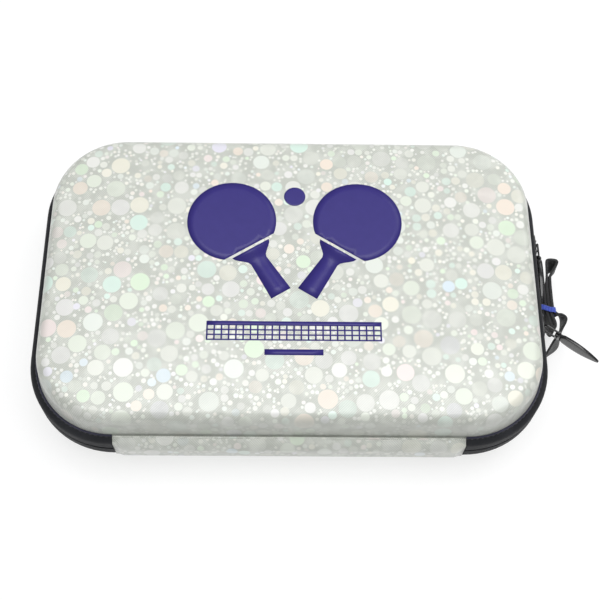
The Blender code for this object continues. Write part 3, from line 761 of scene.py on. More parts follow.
@dataclass(frozen=True)
class Plan:
    """The outline that every layer of the case follows, and the planes that they share."""

    half_x: float
    half_y: float
    middle: float
    half_height: float
    corner_radius: float = 48.3 * MM
    spine_setback: float = 1.0 * MM
    clearance: float = 0.3 * MM
    long_pieces: int = 20
    short_pieces: int = 10
    corner_pieces: int = 20

    @classmethod
    def from_frame(cls) -> "Plan":
        """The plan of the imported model."""
        lid_low, lid_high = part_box("lid_zip_tape")
        _, base_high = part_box("base_zip_tape")
        _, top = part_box("lid_shell")
        middle = (lid_low.z + base_high.z) / 2
        return cls(lid_high.x, lid_high.y, middle, top.z - middle)

    @property
    def core(self) -> Vector:
        """The corner of the rectangle that joins the middles of the corners' arcs."""
        return Vector((self.half_x - self.corner_radius, self.half_y - self.corner_radius, 0))

    @property
    def spine_half(self) -> float:
        """Half the length of the spine's cover."""
        return self.core.x - self.spine_setback

    def at(self, inset: float, height: float, x: float = 0.0) -> Vector:
        """A point on the front, an inset in from the tape's face, at a height in half coordinates."""
        return Vector((x, inset - self.half_y, height))

    def nearest(self, point: Vector) -> tuple[Vector, Vector]:
        """The nearest point of the core rectangle, and the way out from it."""
        core = self.core
        inner = Vector((max(-core.x, min(core.x, point.x)), max(-core.y, min(core.y, point.y)), 0))
        out = Vector((point.x, point.y, 0)) - inner
        return inner, out

    def inset_of(self, point: Vector) -> float:
        """How far a point lies in from the tape's face, to the corner radius at most."""
        return self.corner_radius - self.nearest(point)[1].length

    def carry_round(self, bm: bmesh.types.BMesh, start: float = 0.0) -> float:
        """Carry a mesh's chain round the whole case.

        Args:
            bm: the mesh, whose chain stands at the front, at x = start.
            start: 0 for a closed sweep, or where an open one begins, right of the spine.

        Returns:
            The length of the path.
        """
        core = self.core
        rail = Rail(bm, everything(bm), "along")
        lead = max(1, round(self.long_pieces / 2 * (core.x - start) / core.x))
        rail.run((core.x - start, 0, 0), lead)
        runs = [(NORTH * 2 * core.y, self.short_pieces), (EAST * -2 * core.x, self.long_pieces),
                (NORTH * -2 * core.y, self.short_pieces), (EAST * (core.x - start), lead)]
        for (side_x, side_y), (step, pieces) in zip([(1, -1), (1, 1), (-1, 1), (-1, -1)], runs):
            rail.turn((side_x * core.x, side_y * core.y, 0), UP, 90, self.corner_pieces)
            rail.run(step, pieces)
        return rail.travel

    def stations(self, inset: float, spacing: float, start: float = 0.0) -> Iterator[tuple[Vector, float]]:
        """Evenly spaced points round the case.

        Args:
            inset: how far in from the tape's face they are.
            spacing: the distance between two of them, which is made to fit.
            start: where the row begins at the front.

        Yields:
            Each point at height 0, and its direction of travel as an angle from +X.
        """
        core, radius = self.core, self.corner_radius - inset
        corners = [(core.x, -core.y), (core.x, core.y), (-core.x, core.y), (-core.x, -core.y)]

        def onward(stretch: int, place: Vector, distance: float) -> tuple[Vector, float]:
            """The point a distance further on in a straight or round stretch, and the heading there."""
            heading = math.radians(90 * (stretch // 2))
            if stretch % 2 == 0:
                return place + Vector((math.cos(heading), math.sin(heading), 0)) * distance, heading
            centre = Vector((*corners[stretch // 2], 0))
            turned = Matrix.Rotation(distance / radius, 3, "Z")
            return centre + turned @ (place - centre), heading + distance / radius

        arc = radius * math.pi / 2
        lengths = [core.x - start, arc, 2 * core.y, arc, 2 * core.x, arc, 2 * core.y, arc, core.x - start]
        place = Vector((start, inset - self.half_y, 0))
        count = round(sum(lengths) / spacing)
        stretch, passed = 0, 0.0
        for number in range(count + (start > 0)):
            distance = sum(lengths) * number / count
            while stretch < len(lengths) - 1 and distance > passed + lengths[stretch]:
                place, _ = onward(stretch, place, lengths[stretch])
                passed += lengths[stretch]
                stretch += 1
            yield onward(stretch, place, distance - passed)

    def stand(self, bm: bmesh.types.BMesh, half: Half) -> None:
        """Take a mesh from half coordinates to its place in the lid or the base."""
        bmesh.ops.scale(bm, vec=(1, 1, half.value), verts=bm.verts)
        bmesh.ops.translate(bm, vec=UP * self.middle, verts=bm.verts)
        if half is Half.BASE:
            bmesh.ops.reverse_faces(bm, faces=bm.faces)


def fill_core(bm: bmesh.types.BMesh, plan: Plan) -> None:
    """Fill the open rectangle at the middle of a swept shell with a grid of faces."""
    core = plan.core
    rim = [edge for edge in open_edges(bm)
           if all(abs(v.co.x) < core.x + MM and abs(v.co.y) < core.y + MM for v in edge.verts)]
    sides = [edge for edge in rim if all(abs(abs(v.co.y) - core.y) < 0.1 * MM for v in edge.verts)]
    bmesh.ops.grid_fill(bm, edges=sides, mat_nr=0, use_smooth=True, use_interp_simple=True)


# ---------------------------------------------------------------- half shells


@dataclass
class HalfShell:
    """One moulded half: pearl cloth outside, moulded board, and lining cloth inside."""

    plan: Plan
    finishes: Finishes
    half: Half
    crown: float
    flange_inset: float = 2.8 * MM
    wall_inset: float = 4.6 * MM
    wall_draft: float = 1.35 * MM
    edge_fillet: float = 7.3 * MM
    board: float = 3.2 * MM
    lining: float = 0.7 * MM
    flange_top: float = 8.9 * MM
    rim: float = 5.9 * MM
    foot_radius: float = 1.2 * MM
    fillet_pieces: int = 10
    crown_pieces: int = 9
    unevenness: float = 0.10 * MM
    waves_per_metre: float = 22
    even_foot: float = 2 * MM
    drawn_over: float = 9 * MM
    cloth_from: tuple[float, float] = (0.21, 0.37)
    lining_turn: float = 1.2 * MM
    lining_hem: float = 3.6 * MM
    lining_share: float = 0.84

    @property
    def top(self) -> float:
        """The height of the top's edge, in half coordinates."""
        return self.plan.half_height - self.crown

    @property
    def edge_inset(self) -> float:
        """Where the top begins, inside its rounded edge."""
        return self.wall_inset + self.wall_draft + self.edge_fillet

    def uneven(self, point: Vector) -> float:
        """How far the moulding stands out or in at a point, as no moulding is quite true."""
        return self.unevenness * noise.noise(point * self.waves_per_metre)

    def height_at(self, point: Vector) -> float:
        """The height of the top's surface over a point, in half coordinates."""
        run = self.plan.corner_radius - self.edge_inset
        share = clip((self.plan.inset_of(point) - self.edge_inset) / run)
        return self.top + self.crown * math.sin(math.pi / 2 * share)

    def _climb(self, rail: Rail, offset: float) -> float:
        """Draw the wall, the rounded edge and the crowned top, from the wall's foot.

        Args:
            rail: the chain, standing at the wall's foot.
            offset: how far inside the outer surface the chain runs.

        Returns:
            How far the chain had been carried at the top's edge.
        """
        fillet = self.edge_fillet - offset
        top = self.top - offset
        foot = rail.end
        wall_top = self.plan.at(self.wall_inset + self.wall_draft + offset, top - fillet)
        rail.run(wall_top - foot, 4)
        rail.turn(wall_top + NORTH * fillet, EAST, -90, self.fillet_pieces)
        at_edge = rail.travel
        reach = self.plan.corner_radius - self.edge_inset
        for piece in range(self.crown_pieces):
            before, after = (math.sin(math.pi / 2 * (piece + n) / self.crown_pieces) for n in (0, 1))
            rail.run((0, reach / self.crown_pieces, self.crown * (after - before)))
        return at_edge

    def build_skin(self) -> bpy.types.Object:
        """The pearl cloth over its board, from the flange under the zip tape to the top."""
        plan = self.plan
        rail = start_chain(plan.at(self.flange_inset, self.flange_top))
        corner = self.wall_inset - self.foot_radius
        rail.run((0, corner - self.flange_inset, 0), 2)
        rail.turn(plan.at(corner, self.flange_top + self.foot_radius), EAST, 90, 3)
        at_edge = self._climb(rail, 0)
        bm = rail.bm
        plan.carry_round(bm)
        close_seams(bm)
        fill_core(bm, plan)
        across = measure_layer(bm, "across")
        edge_radius = plan.corner_radius - self.edge_inset

        def cloth(vert: bmesh.types.BMVert) -> tuple[float, float]:
            """The cloth as it lay before it was drawn over the edge."""
            inner, out = plan.nearest(vert.co)
            laid = vert.co
            if out.length > edge_radius and vert[across] < at_edge:
                laid = inner + out.normalized() * (edge_radius + at_edge - vert[across])
            return laid.x + self.half.value * self.cloth_from[0], laid.y + self.cloth_from[1]

        write_uv(bm, cloth)
        bmesh.ops.recalc_face_normals(bm, faces=bm.faces)
        drawn = measure_layer(bm, "drawn")
        for vert in bm.verts:
            # the drawn share also sets the pearl cloth's painted shade, darkest down the walls
            vert[drawn] = clip((at_edge - vert[across]) / self.drawn_over)
            if vert.co.z > self.flange_top + self.even_foot:
                vert.co += vert.normal * self.uneven(vert.co)
        plan.stand(bm, self.half)
        return publish(self.half.of("pearl_skin"), bm, self.finishes.pearl, self.half.word, Slot.PEARL,
                       [self.half.of("shell")], Wall(self.board))

    def build_lining(self) -> bpy.types.Object:
        """The lining cloth, turned out over the rim and drawn up into the half."""
        plan = self.plan
        offset = self.board + plan.clearance
        wall = self.wall_inset + offset
        turned, hem = self.lining_turn, self.lining_hem
        rail = start_chain(plan.at(hem, self.rim - plan.clearance))
        rail.run((0, wall - turned - hem, 0), 2)
        rail.turn(plan.at(wall - turned, self.rim - plan.clearance + turned), EAST, 90, 4)
        self._climb(rail, offset)
        bm = rail.bm
        length = plan.carry_round(bm)
        close_seams(bm)
        write_swept_uv(bm, length)
        fill_core(bm, plan)
        flat = bm.loops.layers.uv["cloth"]
        for face in bm.faces:
            if all(plan.inset_of(vert.co) > self.edge_inset for vert in face.verts):
                for corner in face.loops:
                    corner[flat].uv = corner.vert.co.xy
        plan.stand(bm, self.half)
        piece = publish(self.half.of("inner_lining"), bm, self.finishes.lining, self.half.word,
                        Slot.LINING, [self.half.of("lining")], Wall(self.lining))
        self.half.of("pearl_skin")
        return piece


# ---------------------------------------------------------------- zip and spine


@dataclass
class ZipHalf:
    """One half's zip: tape with its binding, stitches, and the row of coil teeth."""

    plan: Plan
    finishes: Finishes
    half: Half
    band_half: float = 10 * MM
    tape: float = 0.7 * MM
    tape_edge: float = 0.7 * MM
    inner_inset: float = 4.15 * MM
    shoulder: float = 3.3 * MM
    lip: float = 0.35 * MM
    ridge_inset: float = 3.7 * MM
    ridge: float = 0.16 * MM
    fall: float = 0.05 * MM
    bead: float = 0.62 * MM
    bead_inset: float = 0.15 * MM
    bead_step: float = 0.6
    tooth_inset: float = 1.1 * MM
    tooth_edge: float = 0.28 * MM
    tooth_pitch: float = 1.55 * MM
    tooth: tuple[float, float, float] = (0.95 * MM, 1.5 * MM, 2.4 * MM)
    stitch: tuple[float, float, float] = (2.1 * MM, 0.42 * MM, 0.3 * MM)
    stitch_pitch: float = 3.0 * MM
    stitch_inset: float = 0.95 * MM

    @property
    def start(self) -> float:
        """Where the zip begins, just past the end of the spine's cover."""
        return self.plan.spine_half + self.plan.clearance

    def build_tape(self) -> bpy.types.Object:
        """The tape, over the flange, round its outer edge and down to the coil."""
        plan = self.plan
        rail = start_chain(plan.at(self.inner_inset, self.band_half, self.start))
        flat = self.inner_inset - self.ridge_inset - self.ridge
        rail.run((0, -flat, -self.fall), 2)
        rail.run((0, -self.ridge, self.ridge)).run((0, -self.ridge, -self.ridge))
        gap = self.ridge_inset - self.ridge - self.shoulder
        rail.run((0, -gap, 0), 1)
        centre = rail.end - UP * self.shoulder
        rail.turn(centre, EAST, 90, 9)
        rail.run((0, 0, self.tape_edge + self.lip - rail.end.z), 4)
        rail.turn(rail.end + NORTH * self.lip, EAST, 90, 3)
        bm = rail.bm
        length = plan.carry_round(bm, self.start)
        write_swept_uv(bm)
        close_seams(bm)
        plan.stand(bm, self.half)
        piece = publish(self.half.of("tape"), bm, self.finishes.tape, self.half.word, Slot.TAPE,
                        [self.half.of("zip_tape")], Wall(self.tape))
        self.half.of("pearl_skin")
        return piece

    def build_binding(self) -> bpy.types.Object:
        """The navy bead that covers the tape's edge, next to the shell."""
        plan = self.plan
        middle = plan.at(self.inner_inset - self.bead_inset, self.band_half + self.fall, self.start)
        bm = new_mesh()
        place = Matrix.Translation(middle) @ Matrix.Rotation(math.pi / 2, 4, "Y")
        bmesh.ops.create_circle(bm, segments=10, radius=self.bead, matrix=place)
        across = measure_layer(bm, "across")
        for number, vert in enumerate(bm.verts):
            vert[across] = number * self.bead * self.bead_step
        plan.carry_round(bm, self.start)
        write_swept_uv(bm)
        bmesh.ops.holes_fill(bm, edges=open_edges(bm), sides=0)
        bmesh.ops.recalc_face_normals(bm, faces=bm.faces)
        plan.stand(bm, self.half)
        return publish(self.half.of("tape_binding"), bm, self.finishes.binding, self.half.word, Slot.TAPE)

    def build_teeth(self) -> bpy.types.Object:
        """The row of coil teeth behind the tape's free edge."""
        bm = new_mesh()
        along, deep, tall = self.tooth
        inset = self.tooth_inset + deep / 2
        for place, heading in self.plan.stations(inset, self.tooth_pitch, self.start):
            centre = place + UP * (self.tape_edge + tall / 2)
            add_box(bm, centre, (along, deep, tall), Matrix.Rotation(heading, 3, "Z"))
        round_off(bm, bm.edges[:], self.tooth_edge, 1)
        self.plan.stand(bm, self.half)
        return publish(self.half.of("coil_teeth"), bm, self.finishes.coil, self.half.word, Slot.COIL,
                       [self.half.of("zip_coil")])

    def build_stitches(self) -> bpy.types.Object:
        """The row of stitches that holds the tape on the flange."""
        bm = new_mesh()
        inset = self.inner_inset - self.stitch_inset
        for place, heading in self.plan.stations(inset, self.stitch_pitch, self.start):
            spot = Matrix.Translation(place + UP * self.band_half) @ Matrix.Rotation(heading, 4, "Z")
            size = Matrix.Diagonal((*(side / 2 for side in self.stitch), 1))
            bmesh.ops.create_icosphere(bm, subdivisions=1, radius=1.0, matrix=spot @ size)
        self.plan.stand(bm, self.half)
        return publish(self.half.of("tape_stitches"), bm, self.finishes.thread, self.half.word, Slot.TAPE)

    def build(self) -> None:
        """All of this half's zip."""
        self.build_tape()
        self.build_binding()
        self.build_teeth()
        self.build_stitches()


@dataclass
class Spine:
    """The cloth hinge along the front: a padded pearl cover outside and a gusset of lining cloth inside."""

    plan: Plan
    finishes: Finishes
    band_half: float = 10.2 * MM
    bulge: float = 2.4 * MM
    shoulder: float = 6.5 * MM
    cover: float = 0.7 * MM
    inner_inset: float = 4.15 * MM
    over: float = 78
    lip_back: float = 1.5 * MM
    lip_rise: float = 0.45 * MM
    lip_flat: float = 0.6 * MM
    hem: float = 0.45 * MM
    hem_turn: float = 100
    groove: float = 0.4 * MM
    # the cover's share of drawn cloth: it fades the spots and sets the painted shade on the spine's ground
    drawn: float = 0.65
    end_round: float = 2.6 * MM
    end_stand: float = 0.25 * MM
    gusset_inset: float = 1.4 * MM
    gusset: float = 0.6 * MM
    gusset_reach: float = 5.5 * MM
    bend_half: float = 4 * MM
    pieces: int = 40

    def _draw_half(self, rail: Rail, down: int) -> None:
        """Draw the cover from its middle to its hem on one half.

        Args:
            rail: the chain, standing at the cover's outermost point on the middle plane.
            down: 1 towards the base, -1 towards the lid.
        """
        flat = self.band_half - self.shoulder
        rail.run((0, 0, -down * flat), 5)
        rail.turn(rail.end + NORTH * self.shoulder, EAST, down * self.over, 12)
        top = -down * self.band_half
        groove = self.plan.at(self.inner_inset - self.lip_back, top + down * self.groove, rail.end.x)
        rail.run(groove - rail.end, 2)
        rail.run((0, self.lip_rise, -down * self.groove))
        rail.run((0, self.lip_flat, 0))
        rail.turn(rail.end + UP * down * self.hem, EAST, -down * self.hem_turn, 3)

    def build_cover(self) -> bpy.types.Object:
        """The outer cover in one piece over both halves, bent where the case opens."""
        plan = self.plan
        start = plan.at(-self.bulge, 0, -plan.spine_half)
        chains = []
        for down in (1, -1):
            rail = start_chain(start)
            self._draw_half(rail, down)
            chains.append(rail)
        bm = chains[0].bm
        join_into(bm, chains[1].bm)
        across = measure_layer(bm, "across")
        for vert in bm.verts:
            if vert.co.z > 0:
                vert[across] = -vert[across]
        bmesh.ops.remove_doubles(bm, verts=bm.verts, dist=MEETS)
        Rail(bm, everything(bm), "along").run((2 * plan.spine_half, 0, 0), self.pieces)
        drawn = measure_layer(bm, "drawn")
        for vert in bm.verts:
            vert[drawn] = self.drawn
            self._tuck_in(vert)
        write_swept_uv(bm)
        face_towards(bm, -NORTH)
        bmesh.ops.translate(bm, vec=UP * plan.middle, verts=bm.verts)
        piece = publish("spine_cloth", bm, self.finishes.pearl, None, Slot.PEARL,
                        ["lid_spine_cover", "base_spine_cover"], Wall(self.cover, even=False))
        self._bend(piece)
        return piece

    def _tuck_in(self, vert: bmesh.types.BMVert) -> None:
        """Round the cover's ends in towards the zip band."""
        past = (abs(vert.co.x) - (self.plan.spine_half - self.end_round)) / self.end_round
        if past > 0:
            share = 1 - math.sqrt(max(0.0, 1 - past * past))
            face = self.plan.at(-self.end_stand, 0).y
            vert.co.y += max(0.0, face - vert.co.y) * share

    def _bend(self, piece: bpy.types.Object) -> None:
        """Let a piece bend between the two halves, round the hinge."""
        hinge = next(joint for joint in frame["joints"] if joint["name"] == "lid_hinge")["pos_m"]
        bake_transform(piece, "base", "lid", start=(0, hinge[1], hinge[2] - self.bend_half),
                 end=(0, hinge[1], hinge[2] + self.bend_half))

    def build_gusset(self) -> bpy.types.Object:
        """The inner cloth that joins the two rims behind the cover."""
        plan = self.plan
        rail = start_chain(plan.at(self.gusset_inset, -self.gusset_reach, -plan.spine_half))
        rail.run((0, 0, 2 * self.gusset_reach), 12)
        bm = rail.bm
        path = rail.sweep().run((2 * plan.spine_half, 0, 0), 24)
        write_swept_uv(bm)
        bmesh.ops.translate(bm, vec=UP * plan.middle, verts=bm.verts)
        piece = publish("spine_gusset_cloth", bm, self.finishes.lining, None, Slot.LINING,
                        ["lid_spine_gusset", "base_spine_gusset"], Wall(self.gusset, centred=True))
        self._bend(piece)
        return piece

    def build(self) -> None:
        """The cover and the gusset."""
        self.build_cover()
        self.build_gusset()


# ---------------------------------------------------------------- print on the lid


@dataclass
class LidPrint:
    """A plain sports print on the lid: two paddles with a ball, a net, and a bar under it."""

    plan: Plan
    finishes: Finishes
    shell: HalfShell
    film: float = 0.05 * MM
    lift: float = 0.03 * MM
    across: float = 2 * MM
    blade_x: float = 36 * MM
    blade_y: float = 31.5 * MM
    blade_radius: float = 25.5 * MM
    blade_cut: float = 19.5 * MM
    lean: float = 32
    throat_gap: float = 1.6 * MM
    throat_half: float = 12 * MM
    throat_length: float = 9 * MM
    grip_half: float = 5.0 * MM
    grip_flare: float = 1.3 * MM
    grip_length: float = 24 * MM
    ball_radius: float = 6.2 * MM
    ball_y: float = 48 * MM
    net_half: float = 48 * MM
    net_top: float = -31.5 * MM
    net_drop: float = 11.5 * MM
    net_tape: float = 2.6 * MM
    net_line: float = 0.85 * MM
    net_cells: int = 24
    net_rows: int = 3
    bar_y: float = -51.5 * MM
    bar_half: float = 16 * MM
    bar_height: float = 3.4 * MM
    disc_segments: int = 48
    disc_rings: int = 5
    strip_piece: float = 6 * MM

    def _strip(self, bm: bmesh.types.BMesh, low: tuple[float, float], high: tuple[float, float]) -> None:
        """A flat strip between two corners."""
        middle = Vector(((low[0] + high[0]) / 2, (low[1] + high[1]) / 2, 0))
        size = Matrix.Diagonal(((high[0] - low[0]) / 2, (high[1] - low[1]) / 2, 1, 1))
        pieces = max(1, round((high[0] - low[0]) / self.strip_piece))
        bmesh.ops.create_grid(bm, x_segments=pieces, y_segments=1, size=1,
                              matrix=Matrix.Translation(middle) @ size)

    def _disc(self, bm: bmesh.types.BMesh, centre: Vector, radius: float) -> None:
        """A flat disc with rings of faces in an empty mesh, so that it can follow the lid."""
        bmesh.ops.create_circle(bm, cap_ends=True, cap_tris=True, segments=self.disc_segments,
                                radius=radius, matrix=Matrix.Translation(centre))
        spokes = [edge for edge in bm.edges
                  if any((vert.co - centre).length < MEETS for vert in edge.verts)]
        bmesh.ops.subdivide_edges(bm, edges=spokes, cuts=self.disc_rings, use_grid_fill=True)

    def _paddle(self, side: int) -> bmesh.types.BMesh:
        """One paddle, upright and then leaned out from the middle.

        Args:
            side: 1 for the right, -1 for the left.

        Returns:
            The paddle's flat shapes.
        """
        bm = new_mesh()
        self._disc(bm, Vector((0, 0, 0)), self.blade_radius)
        bmesh.ops.bisect_plane(bm, geom=whole(bm), plane_co=(0, -self.blade_cut, 0),
                               plane_no=(0, -1, 0), clear_outer=True)
        top = -self.blade_cut - self.throat_gap
        grip_top = top - self.throat_length
        for high, low, wide, narrow in ((top, grip_top, self.throat_half, self.grip_half),
                                        (grip_top, grip_top - self.grip_length, self.grip_half,
                                         self.grip_half + self.grip_flare)):
            edge = [bm.verts.new((-wide, high, 0)), bm.verts.new((wide, high, 0))]
            rail = Rail(bm, [*edge, bm.edges.new(edge)])
            rail.run((0, low - high, 0), 5)
            for vert in bm.verts:
                if low - MEETS <= vert.co.y <= high and abs(abs(vert.co.x) - wide) < MEETS:
                    share = (high - vert.co.y) / (high - low)
                    eased = ease(share) if wide > narrow else share
                    vert.co.x = math.copysign(wide + (narrow - wide) * eased, vert.co.x)
        turn = Matrix.Rotation(math.radians(side * -self.lean), 4, "Z")
        place = Matrix.Translation((self.across + side * self.blade_x, self.blade_y, 0))
        bmesh.ops.transform(bm, matrix=place @ turn, verts=bm.verts)
        return bm

    def _lay(self, name: str, bm: bmesh.types.BMesh) -> bpy.types.Object:
        """Lay flat shapes on the lid's surface as a film of ink."""
        bmesh.ops.remove_doubles(bm, verts=bm.verts, dist=MEETS)
        bmesh.ops.recalc_face_normals(bm, faces=bm.faces)
        turned_down = [face for face in bm.faces if face.normal.z < 0]
        bmesh.ops.reverse_faces(bm, faces=turned_down)
        for vert in bm.verts:
            vert.co.z = self.shell.height_at(vert.co)
            vert.co.z += self.shell.uneven(vert.co) + self.lift + self.film
        bmesh.ops.translate(bm, vec=UP * self.plan.middle, verts=bm.verts)
        return publish(name, bm, self.finishes.ink, "lid", Slot.PEARL, wall=Wall(self.film))

    def build(self) -> None:
        """The whole print."""
        for side, word in ((-1, "left"), (1, "right")):
            self._lay(f"print_{word}_paddle", self._paddle(side))
        bm = new_mesh()
        self._disc(bm, Vector((self.across, self.ball_y, 0)), self.ball_radius)
        self._lay("print_ball", bm)
        bm = new_mesh()
        low, high = self.across - self.net_half, self.across + self.net_half
        bottom = self.net_top - self.net_drop
        self._strip(bm, (low, self.net_top - self.net_tape), (high, self.net_top))
        for row in range(1, self.net_rows + 1):
            y = self.net_top - self.net_tape - (self.net_drop - self.net_tape) * row / self.net_rows
            self._strip(bm, (low, y), (high, y + self.net_line))
        for cell in range(self.net_cells + 1):
            x = low + (high - low - self.net_line) * cell / self.net_cells
            self._strip(bm, (x, bottom), (x + self.net_line, self.net_top - self.net_tape))
        self._lay("print_net", bm)
        bm = new_mesh()
        self._strip(bm, (self.across - self.bar_half, self.bar_y),
                    (self.across + self.bar_half, self.bar_y + self.bar_height))
        self._lay("print_bar", bm)


# ---------------------------------------------------------------- sliders and pulls


@dataclass
class ZipPull:
    """A slider on the zip, its wire link, and the leaf-shaped tab on the link.

    The place is its name, y where it stands along the side, nose 1 or -1 where its wide end looks along Y,
    and angle how far the link is turned from +X, in degrees.
    """

    plan: Plan
    finishes: Finishes
    place: str
    y: float
    nose: int
    angle: float
    slider_length: float = 14 * MM
    nose_height: float = 9.2 * MM
    tail_height: float = 6.6 * MM
    plate: float = 1.2 * MM
    plate_corner: float = 0.27
    plate_edge: float = 0.28
    neck: float = 0.8 * MM
    neck_length: float = 3 * MM
    inner_inset: float = 3.0 * MM
    inner_size: tuple[float, float, float] = (1.4 * MM, 12 * MM, 7.2 * MM)
    bail_span: float = 8 * MM
    bail_bar: tuple[float, float] = (1.2 * MM, 1.8 * MM)
    bail_bend: float = 1.1
    bail_sunk: float = 0.4
    wire: float = 0.6 * MM
    link_reach: float = 9 * MM
    link_height: float = 7.2 * MM
    link_corner: float = 1.4 * MM
    tab_length: float = 27 * MM
    tab_height: float = 8.6 * MM
    tab_root: float = 4.8 * MM
    tab_thickness: float = 2.0 * MM
    knuckle_wall: float = 0.9 * MM
    tip_radius: float = 1.5 * MM
    leaf_shoulder: float = 2.2
    leaf_swell: float = 0.30
    leaf_tip: float = 0.6
    rim_thinning: float = 0.22
    tip_thinning: float = 0.45

    @property
    def face_x(self) -> float:
        """The tape's outer face on the pulls' side."""
        return self.plan.half_x

    @property
    def pivot(self) -> Vector:
        """Where the link turns on the slider."""
        gap = self.plan.clearance
        return Vector((self.face_x + 2 * gap + self.plate + self.wire, self.y, self.plan.middle))

    @property
    def aim(self) -> Matrix:
        """From the pull's own frame, with the link along +X from its pivot, to its place."""
        return Matrix.Translation(self.pivot) @ Matrix.Rotation(math.radians(self.angle), 4, "Z")

    def _plate(self, bm: bmesh.types.BMesh, centre: Vector, size: tuple[float, float, float]) -> None:
        """A slider's plate: wide at the nose, narrow at the tail, with rounded corners and eased edges."""
        part = new_mesh()
        add_box(part, (0, 0, 0), size)
        for vert in part.verts:
            if vert.co.y * self.nose < 0:
                vert.co.z *= self.tail_height / self.nose_height
        corners = [e for e in part.edges if abs((e.verts[0].co - e.verts[1].co).normalized().x) > 0.9]
        round_off(part, corners, size[2] * self.plate_corner, 5)
        round_off(part, sharp_edges(part, 50), size[0] * self.plate_edge, 3)
        bmesh.ops.translate(part, vec=centre, verts=part.verts)
        join_into(bm, part)

    def build_slider(self) -> bpy.types.Object:
        """The slider: outer plate, neck, inner plate, and the bail that holds the link."""
        gap = self.plan.clearance
        bm = new_mesh()
        outer = Vector((self.face_x + gap + self.plate / 2, self.y, self.plan.middle))
        self._plate(bm, outer, (self.plate, self.slider_length, self.nose_height))
        thick, long, tall = self.inner_size
        inner_x = self.face_x - self.inner_inset - thick / 2
        self._plate(bm, Vector((inner_x, self.y, self.plan.middle)), (thick, long, tall))
        reach = outer.x - inner_x
        part = new_mesh()
        add_box(part, ((outer.x + inner_x) / 2, self.y, self.plan.middle),
                (reach, self.neck_length, self.neck))
        join_into(bm, part)
        self._bail(bm, outer.x + self.plate / 2)
        return publish(f"{self.place}_slider_body", bm, self.finishes.metal, f"slider_{self.place}",
                       Slot.METAL, [f"{self.place}_slider"])

    def _bail(self, bm: bmesh.types.BMesh, face: float) -> None:
        """The arch over the link's near bar."""
        bar, width = self.bail_bar
        inside = 2 * self.plan.clearance + 2 * self.wire
        radius = bar * self.bail_bend
        sunk = self.plate * self.bail_sunk
        half = self.bail_span / 2 - bar / 2
        part = new_mesh()
        centre = Vector((face - sunk, self.y - half, self.plan.middle))
        place = Matrix.Translation(centre) @ Matrix.Rotation(math.pi / 2, 4, "Y")
        bmesh.ops.create_circle(part, segments=12, radius=0.5,
                                matrix=place @ Matrix.Diagonal((width, bar, 1, 1)))
        rail = Rail(part, everything(part))
        rise = sunk + inside + bar / 2 - radius
        rail.run((rise, 0, 0), 2)
        rail.turn(centre + Vector((rise, radius, 0)), UP, -90, 6)
        rail.run((0, 2 * (half - radius), 0), 3)
        rail.turn(centre + Vector((rise, 2 * half - radius, 0)), UP, -90, 6)
        rail.run((-rise, 0, 0), 2)
        bmesh.ops.holes_fill(part, edges=open_edges(part), sides=0)
        join_into(bm, part)

    def build_link(self) -> bpy.types.Object:
        """The wire link, a rectangle with round corners."""
        bm = new_mesh()
        half, corner = self.link_height / 2, self.link_corner
        bmesh.ops.create_circle(bm, segments=12, radius=self.wire,
                                matrix=Matrix.Translation((0, 0, corner - half)))
        rail = Rail(bm, everything(bm))
        tall, long = 2 * (half - corner), self.link_reach - 2 * corner
        for step, centre in (((0, 0, tall), (corner, 0, half - corner)),
                             ((long, 0, 0), (self.link_reach - corner, 0, half - corner)),
                             ((0, 0, -tall), (self.link_reach - corner, 0, corner - half)),
                             ((-long, 0, 0), (corner, 0, corner - half))):
            rail.run(step, 3)
            rail.turn(centre, NORTH, 90, 6)
        close_seams(bm)
        bmesh.ops.transform(bm, matrix=self.aim, verts=bm.verts)
        return publish(f"{self.place}_wire_link", bm, self.finishes.metal, f"link_{self.place}",
                       Slot.METAL, [f"{self.place}_pull_link"])

    def _leaf_half_height(self, along: float) -> float:
        """Half the tab's height at a distance from its root."""
        root = self.wire + self.plan.clearance + self.knuckle_wall
        shoulder = root * self.leaf_shoulder
        if along < shoulder:
            share = max(0.0, (along - root) / (shoulder - root))
            start = self.tab_root / 2
            return start + (self._leaf_half_height(shoulder) - start) * ease(share)
        share = (along - shoulder) / (self.tab_length - shoulder)
        swell = math.sin(math.pi * (self.leaf_swell + (1 - self.leaf_swell) * min(share, 1.0)))
        tip = self.tip_radius * self.leaf_tip
        return tip + (self.tab_height / 2 - tip) * max(0.0, swell)

